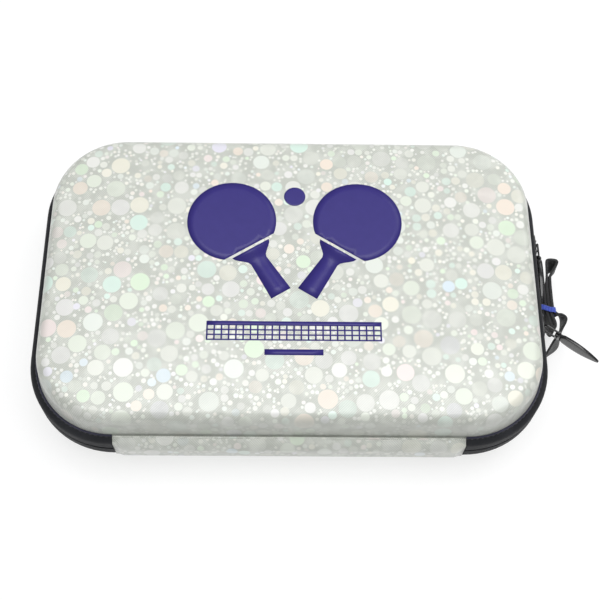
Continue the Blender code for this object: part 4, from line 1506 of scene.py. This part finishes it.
    def build_tab(self) -> bpy.types.Object:
        """The leaf-shaped tab, thick in its middle, with a knuckle round the link's far bar."""
        bm = new_mesh()
        bore = self.wire + self.plan.clearance
        start = bore + self.knuckle_wall * 0.4
        bmesh.ops.create_grid(bm, x_segments=30, y_segments=8, size=0.5,
                              matrix=Matrix.Rotation(math.pi / 2, 4, "X"))
        for vert in bm.verts:
            share = vert.co.x + 0.5
            along = start + (self.tab_length - start) * math.sin(share * math.pi / 2)
            high = self._leaf_half_height(along)
            close = max(0.0, 1 - ((self.tab_length - along) / (2 * self.tip_radius)))
            high *= math.sqrt(max(0.0, 1 - close * close))
            up = vert.co.z * 2
            vert.co = Vector((along, 0, high * math.sin(up * math.pi / 2)))
        for vert in bm.verts:
            vert.co.y = -self._tab_half_thickness(vert.co)
        other = bmesh.ops.duplicate(bm, geom=whole(bm))["geom"]
        bmesh.ops.scale(bm, vec=(1, -1, 1), verts=list(filter(is_vert, other)))
        flipped = [item for item in other if isinstance(item, bmesh.types.BMFace)]
        bmesh.ops.reverse_faces(bm, faces=flipped)
        bmesh.ops.bridge_loops(bm, edges=open_edges(bm))
        close_seams(bm, 0.02 * MM)
        round_off(bm, sharp_edges(bm, 55), 0.25 * MM, 2)
        self._knuckle(bm, bore)
        far_bar = Matrix.Translation((self.link_reach, 0, 0))
        bmesh.ops.transform(bm, matrix=self.aim @ far_bar, verts=bm.verts)
        return publish(f"{self.place}_leaf_tab", bm, self.finishes.metal, f"tab_{self.place}", Slot.METAL,
                       [f"{self.place}_pull_tab"], crease=50)

    def _tab_half_thickness(self, point: Vector) -> float:
        """Half the tab's thickness: full along its middle, thin at its edge, with a shallow panel."""
        high = max(self._leaf_half_height(point.x), 0.1 * MM)
        off = min(1.0, abs(point.z) / high)
        near_tip = max(0.0, (point.x / self.tab_length - 0.55) / 0.45)
        thinned = (1 - self.rim_thinning * off**8) * (1 - self.tip_thinning * near_tip * near_tip)
        return self.tab_thickness / 2 * thinned

    def _knuckle(self, bm: bmesh.types.BMesh, bore: float) -> None:
        """The ring at the tab's root that turns on the link."""
        part = new_mesh()
        half, wall = self.tab_root / 2, self.knuckle_wall
        rail = Rail(part, [part.verts.new((bore, 0, -half + wall / 3))])
        rail.run((0, 0, 2 * (half - wall / 3)))
        rail.run((wall / 3, 0, wall / 3)).run((wall / 3, 0, 0)).run((wall / 3, 0, -wall / 3))
        rail.run((0, 0, -2 * (half - wall / 3)))
        rail.run((-wall / 3, 0, -wall / 3)).run((-wall / 3, 0, 0)).run((-wall / 3, 0, wall / 3))
        bmesh.ops.remove_doubles(part, verts=part.verts, dist=MEETS)
        bmesh.ops.spin(part, geom=everything(part), cent=(0, 0, 0), axis=UP, dvec=(0, 0, 0),
                       angle=2 * math.pi, steps=24, use_merge=True, use_duplicate=False)
        close_seams(part)
        join_into(bm, part)

    def build(self) -> None:
        """The slider, the link and the tab."""
        self.build_slider()
        self.build_link()
        self.build_tab()


# ---------------------------------------------------------------- wrist strap


@dataclass(frozen=True)
class Lean:
    """A stretch of the webbing whose lower edge leans away, from a first to a last point along it.

    The way says how far the edge stands off at the stretch's middle, as a share of the webbing's height.
    """

    first: float
    last: float
    way: tuple[float, float]


@dataclass
class WristStrap:
    """The wrist strap's webbing, folded up in a blue elastic band, and the patch that it is sewn to."""

    plan: Plan
    finishes: Finishes
    thickness: float = 1.3 * MM
    edge: float = 0.3 * MM
    smoothing: int = 6
    stitch_inset: float = 1.6 * MM
    stitch_pitch: float = 2.2 * MM
    stitch_rise: float = 0.25 * MM
    stitch_width: float = 0.4 * MM
    stitch_length: float = 1.6 * MM
    elastic: float = 0.8 * MM
    elastic_round: float = 1.5 * MM
    elastic_edge: float = 0.15 * MM
    elastic_middle: float = 0.9
    elastic_width: float = 3.4 * MM
    elastic_shift: float = -1.0 * MM
    elastic_reach: float = 1.6 * MM
    elastic_step: float = 1.8 * MM
    leans: tuple[Lean, ...] = (
        Lean(2 * MM, 24 * MM, (0.22, -0.12)),
        Lean(22 * MM, 37 * MM, (0, 0.50)),
        Lean(66 * MM, 96 * MM, (0.23, -0.27)),
    )
    route: tuple[tuple[float, float], ...] = (
        (3.6, -34), (5.8, -30.5), (9.6, -24.5), (13.6, -18.8), (16.9, -13.8), (17.6, -10.6), (15.4, -8.6),
        (12.8, -8.2), (10.8, -5.4), (10.4, -1), (10.4, 6), (10.5, 12), (11.1, 17.5), (13.7, 22.2),
        (15.9, 25.6), (15.6, 27.4), (13.6, 28.0), (10.8, 28.0), (9.4, 26.6), (9.0, 21), (8.8, 16), (8.3, 9),
        (8.3, -1), (9.3, -8), (11.0, -13.5), (10.6, -16.8), (8.8, -15.5), (7.0, -8), (6.3, -1), (6.3, 6),
        (6.3, 25), (5.3, 27.2), (4.3, 25), (4.3, 6), (4.3, -9.5),
    )

    def _smooth_route(self) -> list[Vector]:
        """Points on a smooth curve through the route's own points, from the anchor to the end."""
        points = [Vector((self.plan.half_x + out * MM, along * MM, 0)) for out, along in self.route]
        smooth = []
        last = len(points) - 1
        for index in range(last):
            before, after = points[max(index - 1, 0)], points[min(index + 2, last)]
            start, end = points[index], points[index + 1]
            for step in range(self.smoothing):
                t = step / self.smoothing
                smooth.append(
                    start * (2 * t**3 - 3 * t**2 + 1) + end * (3 * t**2 - 2 * t**3)
                    + (end - before) * 0.5 * (t**3 - 2 * t**2 + t) + (after - start) * 0.5 * (t**3 - t**2)
                )
        return [*smooth, points[-1]]

    def build_webbing(self) -> bpy.types.Object:
        """The folded webbing."""
        low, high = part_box("wrist_strap")
        route = self._smooth_route()
        rail = start_chain(route[0] + UP * low.z)
        rail.run(UP * (high.z - low.z), 6)
        path = rail.sweep()
        for here, there in zip(route, route[1:]):
            path.run(there - here)
        bm = rail.bm
        self._lean_out(bm, high.z)
        write_swept_uv(bm)
        bmesh.ops.recalc_face_normals(bm, faces=bm.faces)
        piece = publish("wrist_webbing", bm, self.finishes.webbing, "strap", Slot.WEBBING,
                        ["wrist_strap"], Wall(self.thickness, centred=True))
        eased = piece.modifiers.new("eased edges", "BEVEL")
        eased.width, eased.segments, eased.limit_method = self.edge, 2, "ANGLE"
        return piece

    def _lean_out(self, bm: bmesh.types.BMesh, top: float) -> None:
        """Let some stretches lean, with their lower edges out from the case."""
        along = measure_layer(bm, "along")
        for vert in bm.verts:
            for lean in self.leans:
                share = (vert[along] - lean.first) / (lean.last - lean.first)
                if 0 < share < 1:
                    vert.co += Vector((*lean.way, 0)) * (top - vert.co.z) * math.sin(math.pi * share) ** 2

    def build_elastic(self) -> bpy.types.Object:
        """The elastic band round the folded webbing."""
        low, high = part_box("strap_elastic_band")
        middle_y = (low.y + high.y) / 2 + self.elastic_shift
        low.y, high.y = middle_y - self.elastic_width / 2, middle_y + self.elastic_width / 2
        low.x -= self.elastic_reach
        wall, turn = self.elastic, self.elastic_round
        inner_low, inner_high = low + Vector((wall, 0, wall)), high - Vector((wall, 0, wall))
        rail = start_chain(Vector((inner_low.x - wall, low.y, (low.z + high.z) / 2)))
        rail.run((0, high.y - low.y, 0), 5)
        path = rail.sweep()
        wide, tall = inner_high.x - inner_low.x + 2 * wall, inner_high.z - inner_low.z + 2 * wall
        path.run((0, 0, tall / 2 - turn), 3)
        corners = [((1, 0, 0), (turn, 0, 0)), ((0, 0, -1), (0, 0, -turn)), ((-1, 0, 0), (-turn, 0, 0)),
                   ((0, 0, 1), (0, 0, turn))]
        lengths = [wide - 2 * turn, tall - 2 * turn, wide - 2 * turn, tall / 2 - turn]
        for (direction, toward), length in zip(corners, lengths):
            path.turn(path.end + Vector(toward), NORTH, 90, 5)
            path.run(Vector(direction) * length, 4)
        bm = rail.bm
        for vert in bm.verts:
            off = abs(vert.co.y - (low.y + high.y) / 2) / (high.y - low.y) * 2
            if off > self.elastic_middle:
                middle = Vector(((low.x + high.x) / 2, vert.co.y, (low.z + high.z) / 2))
                vert.co += (middle - vert.co).normalized() * self.elastic_edge
        for vert in bm.verts:
            share = clip((vert.co.x - low.x) / (high.x - low.x) * 2 - 0.5)
            vert.co.y += self.elastic_step * (0.5 - ease(share))
        length = path.travel
        close_seams(bm)
        face_towards(bm, EAST)
        write_swept_uv(bm, length)
        return publish("elastic_loop", bm, self.finishes.elastic, "strap", Slot.ELASTIC,
                       ["strap_elastic_band"], Wall(wall))

    def build_anchor(self) -> bpy.types.Object:
        """The patch of webbing on the zip band that the strap is sewn to, with its box of stitches."""
        low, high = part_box("strap_anchor_tab")
        centre = (low + high) / 2
        size = high - low
        rail = start_chain(Vector((high.x, low.y, low.z)))
        rail.run((0, size.y, 0), 8)
        rail.sweep().run((0, 0, size.z), 10)
        bm = rail.bm
        write_swept_uv(bm)
        face_towards(bm, EAST)
        piece = publish("anchor_patch", bm, self.finishes.webbing, "base", Slot.WEBBING,
                        ["strap_anchor_tab"], Wall(size.x))
        thread = new_mesh()
        half_y, half_z = size.y / 2 - self.stitch_inset, size.z / 2 - self.stitch_inset
        for across in (half_y, -half_y):
            self._stitch_row(thread, centre + Vector((size.x / 2, across, 0)), UP, half_z)
        for up in (-half_z, half_z):
            self._stitch_row(thread, centre + Vector((size.x / 2, 0, up)), NORTH, half_y)
        publish("anchor_stitches", thread, self.finishes.thread, "base", Slot.WEBBING)
        return piece

    def _stitch_row(self, bm: bmesh.types.BMesh, middle: Vector, along: Vector, reach: float) -> None:
        """A straight row of stitches about a middle point, on a face that looks along +X."""
        count = max(2, round(2 * reach / self.stitch_pitch))
        size = Vector((self.stitch_rise, self.stitch_width, self.stitch_width))
        size += along * (self.stitch_length - self.stitch_width)
        for number in range(count):
            spot = middle + along * (-reach + 2 * reach * (number + 0.5) / count)
            place = Matrix.Translation(spot) @ Matrix.Diagonal((*(size / 2), 1))
            bmesh.ops.create_icosphere(bm, subdivisions=1, radius=1.0, matrix=place)

    def build(self) -> None:
        """The patch, the webbing and the band."""
        self.build_anchor()
        self.build_webbing()
        self.build_elastic()


# ---------------------------------------------------------------- inside the lid


@dataclass
class MeshPocket:
    """The net across the front half of the lid, bound along its edge, with an elastic hem at its mouth."""

    plan: Plan
    finishes: Finishes
    pitch: float = 3.4 * MM
    yarn: float = 0.45 * MM
    yarn_share: float = 0.32
    under: float = 0.4
    border: float = 5 * MM
    border_thickness: float = 0.9 * MM
    gather: float = 0.12 * MM
    gather_run: float = 2.6 * MM

    def build_net(self) -> bpy.types.Object:
        """The net, knotted in diamonds."""
        low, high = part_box("lid_mesh_pocket")
        plan = self.plan
        bm = new_mesh()
        span = max(high.x - low.x, high.y - low.y) * 1.5
        cells = round(span / self.pitch)
        turn = Matrix.Rotation(math.radians(45), 4, "Z")
        centre = Matrix.Translation(((low.x + high.x) / 2, (low.y + high.y) / 2, 0))
        bmesh.ops.create_grid(bm, x_segments=cells, y_segments=cells, size=span / 2, matrix=centre @ turn)
        edge = plan.half_x - high.x + self.border * self.under
        outside = [vert for vert in bm.verts
                   if plan.inset_of(vert.co) < edge or not low.y < vert.co.y < high.y]
        bmesh.ops.delete(bm, geom=outside, context="VERTS")
        bmesh.ops.wireframe(bm, faces=bm.faces, thickness=self.yarn, use_replace=True,
                            use_boundary=True, use_even_offset=False)
        bmesh.ops.translate(bm, vec=UP * ((low.z + high.z) / 2), verts=bm.verts)
        return publish("lid_pocket_net", bm, self.finishes.net, "lid", Slot.NET, ["lid_mesh_pocket"])

    def build_border(self) -> bpy.types.Object:
        """The binding tape along the net's sewn edge."""
        _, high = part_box("lid_mesh_pocket")
        plan = self.plan
        inset = plan.half_x - high.x
        rail = start_chain(plan.at(inset + self.border, 0))
        rail.run((0, -self.border, 0), 3)
        bm = rail.bm
        length = plan.carry_round(bm)
        write_swept_uv(bm, length)
        close_seams(bm)
        bmesh.ops.bisect_plane(bm, geom=whole(bm), plane_co=(0, high.y, 0),
                               plane_no=(0, 1, 0), clear_outer=True)
        face_towards(bm, UP)
        bmesh.ops.translate(bm, vec=UP * high.z, verts=bm.verts)
        return publish("lid_pocket_border", bm, self.finishes.tape, "lid", Slot.TAPE,
                       wall=Wall(self.border_thickness))

    def build_hem(self) -> bpy.types.Object:
        """The elastic hem along the pocket's mouth, slightly gathered."""
        low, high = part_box("lid_pocket_hem")
        rail = start_chain(Vector((low.x, low.y, (low.z + high.z) / 2)))
        rail.run((0, high.y - low.y, 0), 6)
        rail.sweep().run((high.x - low.x, 0, 0), 160)
        bm = rail.bm
        for vert in bm.verts:
            off = (vert.co.y - low.y) / (high.y - low.y) * 2 - 1
            vert.co.z += self.gather * math.sin(vert.co.x / self.gather_run) * (1 - off * off * 0.5)
        write_swept_uv(bm)
        bmesh.ops.recalc_face_normals(bm, faces=bm.faces)
        return publish("lid_pocket_elastic_hem", bm, self.finishes.tape, "lid", Slot.TAPE,
                       ["lid_pocket_hem"], Wall(high.z - low.z - self.plan.clearance, centred=True))

    def build(self) -> None:
        """The net with its border and hem."""
        net = self.build_net()
        around = [self.build_border(), self.build_hem()]


# ---------------------------------------------------------------- inside the base


@dataclass
class BaseInsert:
    """The pad on the base's floor and the foam block above it, cut out for a paddle and two balls."""

    plan: Plan
    finishes: Finishes
    edge: float = 1.0 * MM
    end_margin: float = 6 * MM
    blade_margin: float = 7 * MM
    slot_half: float = 15.5 * MM
    slot_corner: float = 3 * MM
    well_radius: float = 20.7 * MM
    well_end: float = 24 * MM
    well_web: float = 4.5 * MM
    webbing: float = 0.9 * MM
    webbing_gap: float = 0.1 * MM
    pad_round: float = 0.45
    ramp: float = 3 * MM
    ramp_gap: float = 1.4 * MM

    def _loop(self, bm: bmesh.types.BMesh, verts: list, inward: int, low: float, high: float) -> None:
        """Raise a wall from a closed loop of vertices, and round it over at the top.

        Args:
            bm: the foam's mesh.
            verts: the loop, anticlockwise.
            inward: -1 where the foam lies inside the loop, 1 where it lies outside.
            low: the foam's underside.
            high: its top.
        """
        places = [vert.co.copy() for vert in verts]
        count = len(places)
        lean = []
        for index, place in enumerate(places):
            ahead = (places[(index + 1) % count] - place).normalized()
            behind = (place - places[index - 1]).normalized()
            tangent = (ahead + behind).normalized()
            lean.append(Vector((tangent.y, -tangent.x, 0)) * inward)
        edges = [edge for edge in bm.edges if edge.verts[0] in verts and edge.verts[1] in verts]
        rail = Rail(bm, [*verts, *edges])
        rail.run(UP * (high - low - self.edge), 6)
        steps = 5
        for step in range(steps):
            now, then = (math.radians(90 * (step + n) / steps) for n in (0, 1))
            rail.run(UP * self.edge * (math.sin(then) - math.sin(now)))
            shift = self.edge * (math.cos(now) - math.cos(then))
            for vert, way in zip(filter(is_vert, rail.tip), lean):
                vert.co += way * shift

    def build_foam(self) -> bpy.types.Object:
        """The foam block with its cut-outs, its top edges eased."""
        low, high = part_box("paddle_foam")
        plan = self.plan
        inset = plan.half_x - high.x
        bm = new_mesh()
        outer = start_chain(plan.at(inset, 0)).bm
        plan.carry_round(outer)
        wells = [self._well(inset, side) for side in (-1, 1)]
        loops = []
        for part, inward in ((outer, -1), (self._paddle(inset), 1), (wells[0], 1), (wells[1], 1)):
            bmesh.ops.remove_doubles(part, verts=part.verts, dist=MEETS)
            verts = [bm.verts.new((place.x, place.y, low.z)) for place in self._in_order(part)]
            for index, vert in enumerate(verts):
                bm.edges.new((verts[index - 1], vert))
            loops.append((verts, inward))
            part.free()
        for verts, inward in loops:
            self._loop(bm, verts, inward, low.z, high.z)
        for height in (low.z, high.z):
            rim = [e for e in open_edges(bm) if all(abs(v.co.z - height) < MEETS for v in e.verts)]
            bmesh.ops.triangle_fill(bm, use_beauty=True, use_dissolve=False, edges=rim, normal=UP)
        bmesh.ops.recalc_face_normals(bm, faces=bm.faces)
        piece = publish("foam_insert", bm, self.finishes.foam, "base", Slot.FOAM, ["paddle_foam"])
        return piece

    def _paddle(self, inset: float) -> bmesh.types.BMesh:
        """The outline of the paddle's cut-out, a round blade with a slot for its handle.

        Args:
            inset: how far the foam stands in from the tape's face.

        Returns:
            The outline at height 0.
        """
        plan = self.plan
        blade = plan.half_y - inset - self.blade_margin
        blade_x = self.end_margin + blade - (plan.half_x - inset)
        throat = math.sqrt(blade**2 - self.slot_half**2)
        angle = math.degrees(math.asin(self.slot_half / blade))
        slot_end = plan.half_x - inset - self.end_margin
        corner = self.slot_corner
        paddle = start_chain((blade_x + throat, -self.slot_half, 0))
        paddle.run((slot_end - corner - blade_x - throat, 0, 0), 8)
        paddle.turn(paddle.end + NORTH * corner, UP, 90, 6)
        paddle.run((0, 2 * (self.slot_half - corner), 0), 4)
        paddle.turn(paddle.end - EAST * corner, UP, 90, 6)
        paddle.run((blade_x + throat - slot_end + corner, 0, 0), 8)
        paddle.turn((blade_x, 0, 0), UP, 360 - 2 * angle, 90)
        return paddle.bm

    def _well(self, inset: float, side: int) -> bmesh.types.BMesh:
        """The outline of one ball's well, on the side 1 or -1."""
        bm = new_mesh()
        x = self.plan.half_x - inset - self.well_end - self.well_radius
        y = side * (self.slot_half + self.well_web + self.well_radius)
        bmesh.ops.create_circle(bm, segments=48, radius=self.well_radius,
                                matrix=Matrix.Translation((x, y, 0)))
        return bm

    def _in_order(self, bm: bmesh.types.BMesh) -> list[Vector]:
        """The places of a closed loop's vertices, anticlockwise."""
        first = bm.verts[:][0]
        vert, edge, places = first, first.link_edges[0], []
        while True:
            places.append(vert.co.copy())
            vert = edge.other_vert(vert)
            edge = next(other for other in vert.link_edges if other != edge)
            if vert == first:
                break
        area = sum(a.x * b.y - b.x * a.y for a, b in zip(places, places[1:] + places[:1]))
        return places if area > 0 else places[::-1]

    def build_pad(self) -> bpy.types.Object:
        """The soft pad on the floor, seen through the cut-outs."""
        low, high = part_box("base_floor_pad")
        plan = self.plan
        inset = plan.half_x - high.x
        tall = high.z - low.z
        edge = tall * self.pad_round
        rail = start_chain(plan.at(inset + edge, low.z))
        rail.turn(plan.at(inset + edge, low.z + edge), EAST, -90, 4)
        rail.run(UP * (tall - 2 * edge), 1)
        rail.turn(plan.at(inset + edge, high.z - edge), EAST, -90, 4)
        rail.run((0, plan.corner_radius - inset - edge, 0), 6)
        bm = rail.bm
        plan.carry_round(bm)
        close_seams(bm)
        fill_core(bm, plan)
        bmesh.ops.holes_fill(bm, edges=open_edges(bm), sides=0)
        bmesh.ops.recalc_face_normals(bm, faces=bm.faces)
        write_uv(bm, lambda vert: (vert.co.x, vert.co.y))
        piece = publish("floor_pad", bm, self.finishes.loops, "base", Slot.FOAM, ["base_floor_pad"])
        return piece

    def _webbing(self, name: str, node: str, steps: Sequence[tuple[float, float]]) -> bpy.types.Object:
        """One end of the handle strap.

        Args:
            name: the piece's name.
            node: the frame's node that it stands for.
            steps: the run along Y and the rise of each straight stretch, from its sewn end.

        Returns:
            The webbing.
        """
        low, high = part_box(node)
        sewn_y = low.y if steps[0][0] > 0 else high.y
        rail = start_chain(Vector((low.x, sewn_y, low.z + self.webbing)))
        rail.run((high.x - low.x, 0, 0), 8)
        path = rail.sweep()
        for run, rise in steps:
            path.run((0, run, rise), max(1, round(abs(run) / (3 * MM))))
        bm = rail.bm
        write_swept_uv(bm)
        face_towards(bm, UP)
        piece = publish(name, bm, self.finishes.webbing, "base", Slot.WEBBING, [node], Wall(self.webbing))
        return piece

    def build_handle_strap(self) -> None:
        """The two webbing ends that meet over the paddle's handle."""
        loop_low, loop_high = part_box("handle_strap_loop_end")
        hook_low, hook_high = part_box("handle_strap_hook_end")
        self._webbing("handle_loop_webbing", "handle_strap_loop_end", [(loop_high.y - loop_low.y, 0.0)])
        rise = hook_high.z - hook_low.z - self.webbing - self.webbing_gap
        upper = loop_high.y + self.ramp_gap - hook_low.y
        sewn = hook_high.y - loop_high.y - self.ramp_gap - self.ramp
        self._webbing("handle_hook_webbing", "handle_strap_hook_end",
                      [(-sewn, 0.0), (-self.ramp, rise), (-upper, 0.0)])

    def build(self) -> None:
        """The pad, the foam and the handle strap."""
        self.build_pad()
        self.build_foam()
        self.build_handle_strap()


# ---------------------------------------------------------------- studio


@dataclass(frozen=True)
class Softbox:
    """A rectangular soft light: where it hangs and looks, its sides, watts and own turn in degrees."""

    name: str
    place: tuple[float, float, float]
    aim: tuple[float, float, float]
    size: tuple[float, float]
    power: float
    turn: float = 0.0


@dataclass
class Studio:
    """A pale floor, soft light from above and behind, and the camera."""

    middle: float
    target: tuple[float, float] = (5.65 * MM, -4.0 * MM)
    azimuth: float = -1.785
    elevation: float = 64.342
    roll: float = 2.094
    distance: float = 642.9 * MM
    lens: float = 66.05
    floor_colour: Colour = (0.38, 0.38, 0.38)
    floor_glow: float = 0.68
    sky: Colour = (0.96, 0.98, 1.0)
    sky_strength: float = 0.32
    backdrop: float = 0.93
    softboxes: tuple[Softbox, ...] = (
        Softbox("overhead", (0.10, -0.02, 1.25), (0.10, -0.02, 0), (1.3, 0.9), 12.5, turn=-8),
        Softbox("back_right", (0.9, 0.9, 0.8), (0, 0, 0.03), (0.8, 0.8), 3.5),
    )
    sensor: float = 36
    sees: tuple[float, float] = (0.01, 20)
    floor_half: float = 3.0

    def build_floor(self) -> None:
        """The floor that the case stands on."""
        bm = new_mesh()
        bmesh.ops.create_grid(bm, x_segments=8, y_segments=8, size=self.floor_half)
        mesh = bpy.data.meshes.new("floor")
        bm.to_mesh(mesh)
        bm.free()
        kit = NodeKit("pale_floor", {"Roughness": 0.9, "Specular IOR Level": 0.1,
                                     "Emission Color": (1, 1, 1, 1), "Emission Strength": self.floor_glow})
        grain = kit.noise(kit.add("TexCoord").outputs["Object"], 0.4)
        pale = tuple(part * 0.99 for part in self.floor_colour)
        mesh.materials.append(kit.finish(colour=kit.mix(grain, (*pale, 1), (*self.floor_colour, 1))))
        floor = bpy.data.objects.new("floor", mesh)
        bpy.context.scene.collection.objects.link(floor)
        floor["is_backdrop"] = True

    def _hang(self, softbox: Softbox) -> None:
        """Hang one softbox."""
        light = bpy.data.lights.new(softbox.name, "AREA")
        light.shape = "RECTANGLE"
        light.size, light.size_y = softbox.size
        light.energy = softbox.power
        lamp = bpy.data.objects.new(softbox.name, light)
        way = (Vector(softbox.aim) - Vector(softbox.place)).to_track_quat("-Z", "Y").to_matrix().to_4x4()
        turn = Matrix.Rotation(math.radians(softbox.turn), 4, "Z")
        lamp.matrix_world = Matrix.Translation(softbox.place) @ way @ turn
        bpy.context.scene.collection.objects.link(lamp)

    def build_lights(self) -> None:
        """The sky and the softboxes."""
        world = bpy.data.worlds.new("studio")
        world.use_nodes = True
        nodes, links = world.node_tree.nodes, world.node_tree.links
        background = nodes["Background"]
        seen = nodes.new("ShaderNodeLightPath").outputs["Is Camera Ray"]
        strength = nodes.new("ShaderNodeMapRange")
        strength.inputs["To Min"].default_value = self.sky_strength
        strength.inputs["To Max"].default_value = self.backdrop
        links.new(seen, strength.inputs["Value"])
        links.new(strength.outputs[0], background.inputs["Strength"])
        background.inputs["Color"].default_value = (*self.sky, 1)
        bpy.context.scene.world = world
        for softbox in self.softboxes:
            self._hang(softbox)

    def build_camera(self) -> None:
        """The camera, aimed and rolled."""
        around, above, roll = map(math.radians, (self.azimuth, self.elevation, self.roll))
        back = Vector((math.sin(around) * math.cos(above), -math.cos(around) * math.cos(above),
                       math.sin(above)))
        right = Vector((math.cos(around), math.sin(around), 0))
        up = back.cross(right)
        camera_x = right * math.cos(roll) + up * math.sin(roll)
        camera_y = up * math.cos(roll) - right * math.sin(roll)
        turn = Matrix((camera_x, camera_y, back)).transposed().to_4x4()
        place = Vector((*self.target, self.middle)) + back * self.distance
        camera = bpy.data.cameras.new("camera")
        camera.lens = self.lens
        camera.sensor_width = self.sensor
        camera.clip_start, camera.clip_end = self.sees
        holder = bpy.data.objects.new("camera", camera)
        holder.matrix_world = Matrix.Translation(place) @ turn
        bpy.context.scene.collection.objects.link(holder)
        bpy.context.scene.camera = holder

    def build(self) -> None:
        """Floor, lights and camera."""
        self.build_floor()
        self.build_lights()
        self.build_camera()
        bpy.context.scene.view_settings.view_transform = "Standard"


# ---------------------------------------------------------------- the whole


def main() -> None:
    """Build the studio and every piece of the case, in order."""
    logging.basicConfig(level=logging.INFO, format="%(name)s: %(message)s")
    plan = Plan.from_frame()
    Studio(plan.middle).build()
    finishes = Finishes.mixed()
    crowns = {Half.LID: LID_CROWN, Half.BASE: 0.0}
    shells = {half: HalfShell(plan, finishes, half, crown) for half, crown in crowns.items()}
    for half, shell in shells.items():
        shell.build_skin()
        shell.build_lining()
        ZipHalf(plan, finishes, half).build()
    Spine(plan, finishes).build()
    LidPrint(plan, finishes, shells[Half.LID]).build()
    MeshPocket(plan, finishes).build()
    BaseInsert(plan, finishes).build()
    ZipPull(plan, finishes, place="back", y=33 * MM, nose=-1, angle=-90).build()
    ZipPull(plan, finishes, place="front", y=-20 * MM, nose=1, angle=-37).build()
    WristStrap(plan, finishes).build()
    boxes = [[list(corner) for corner in box] for box in (CAD_BOX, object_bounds())]
    LOG.info("frame box %s, pieces' box %s", *boxes)


if __name__ == "__main__":
    main()
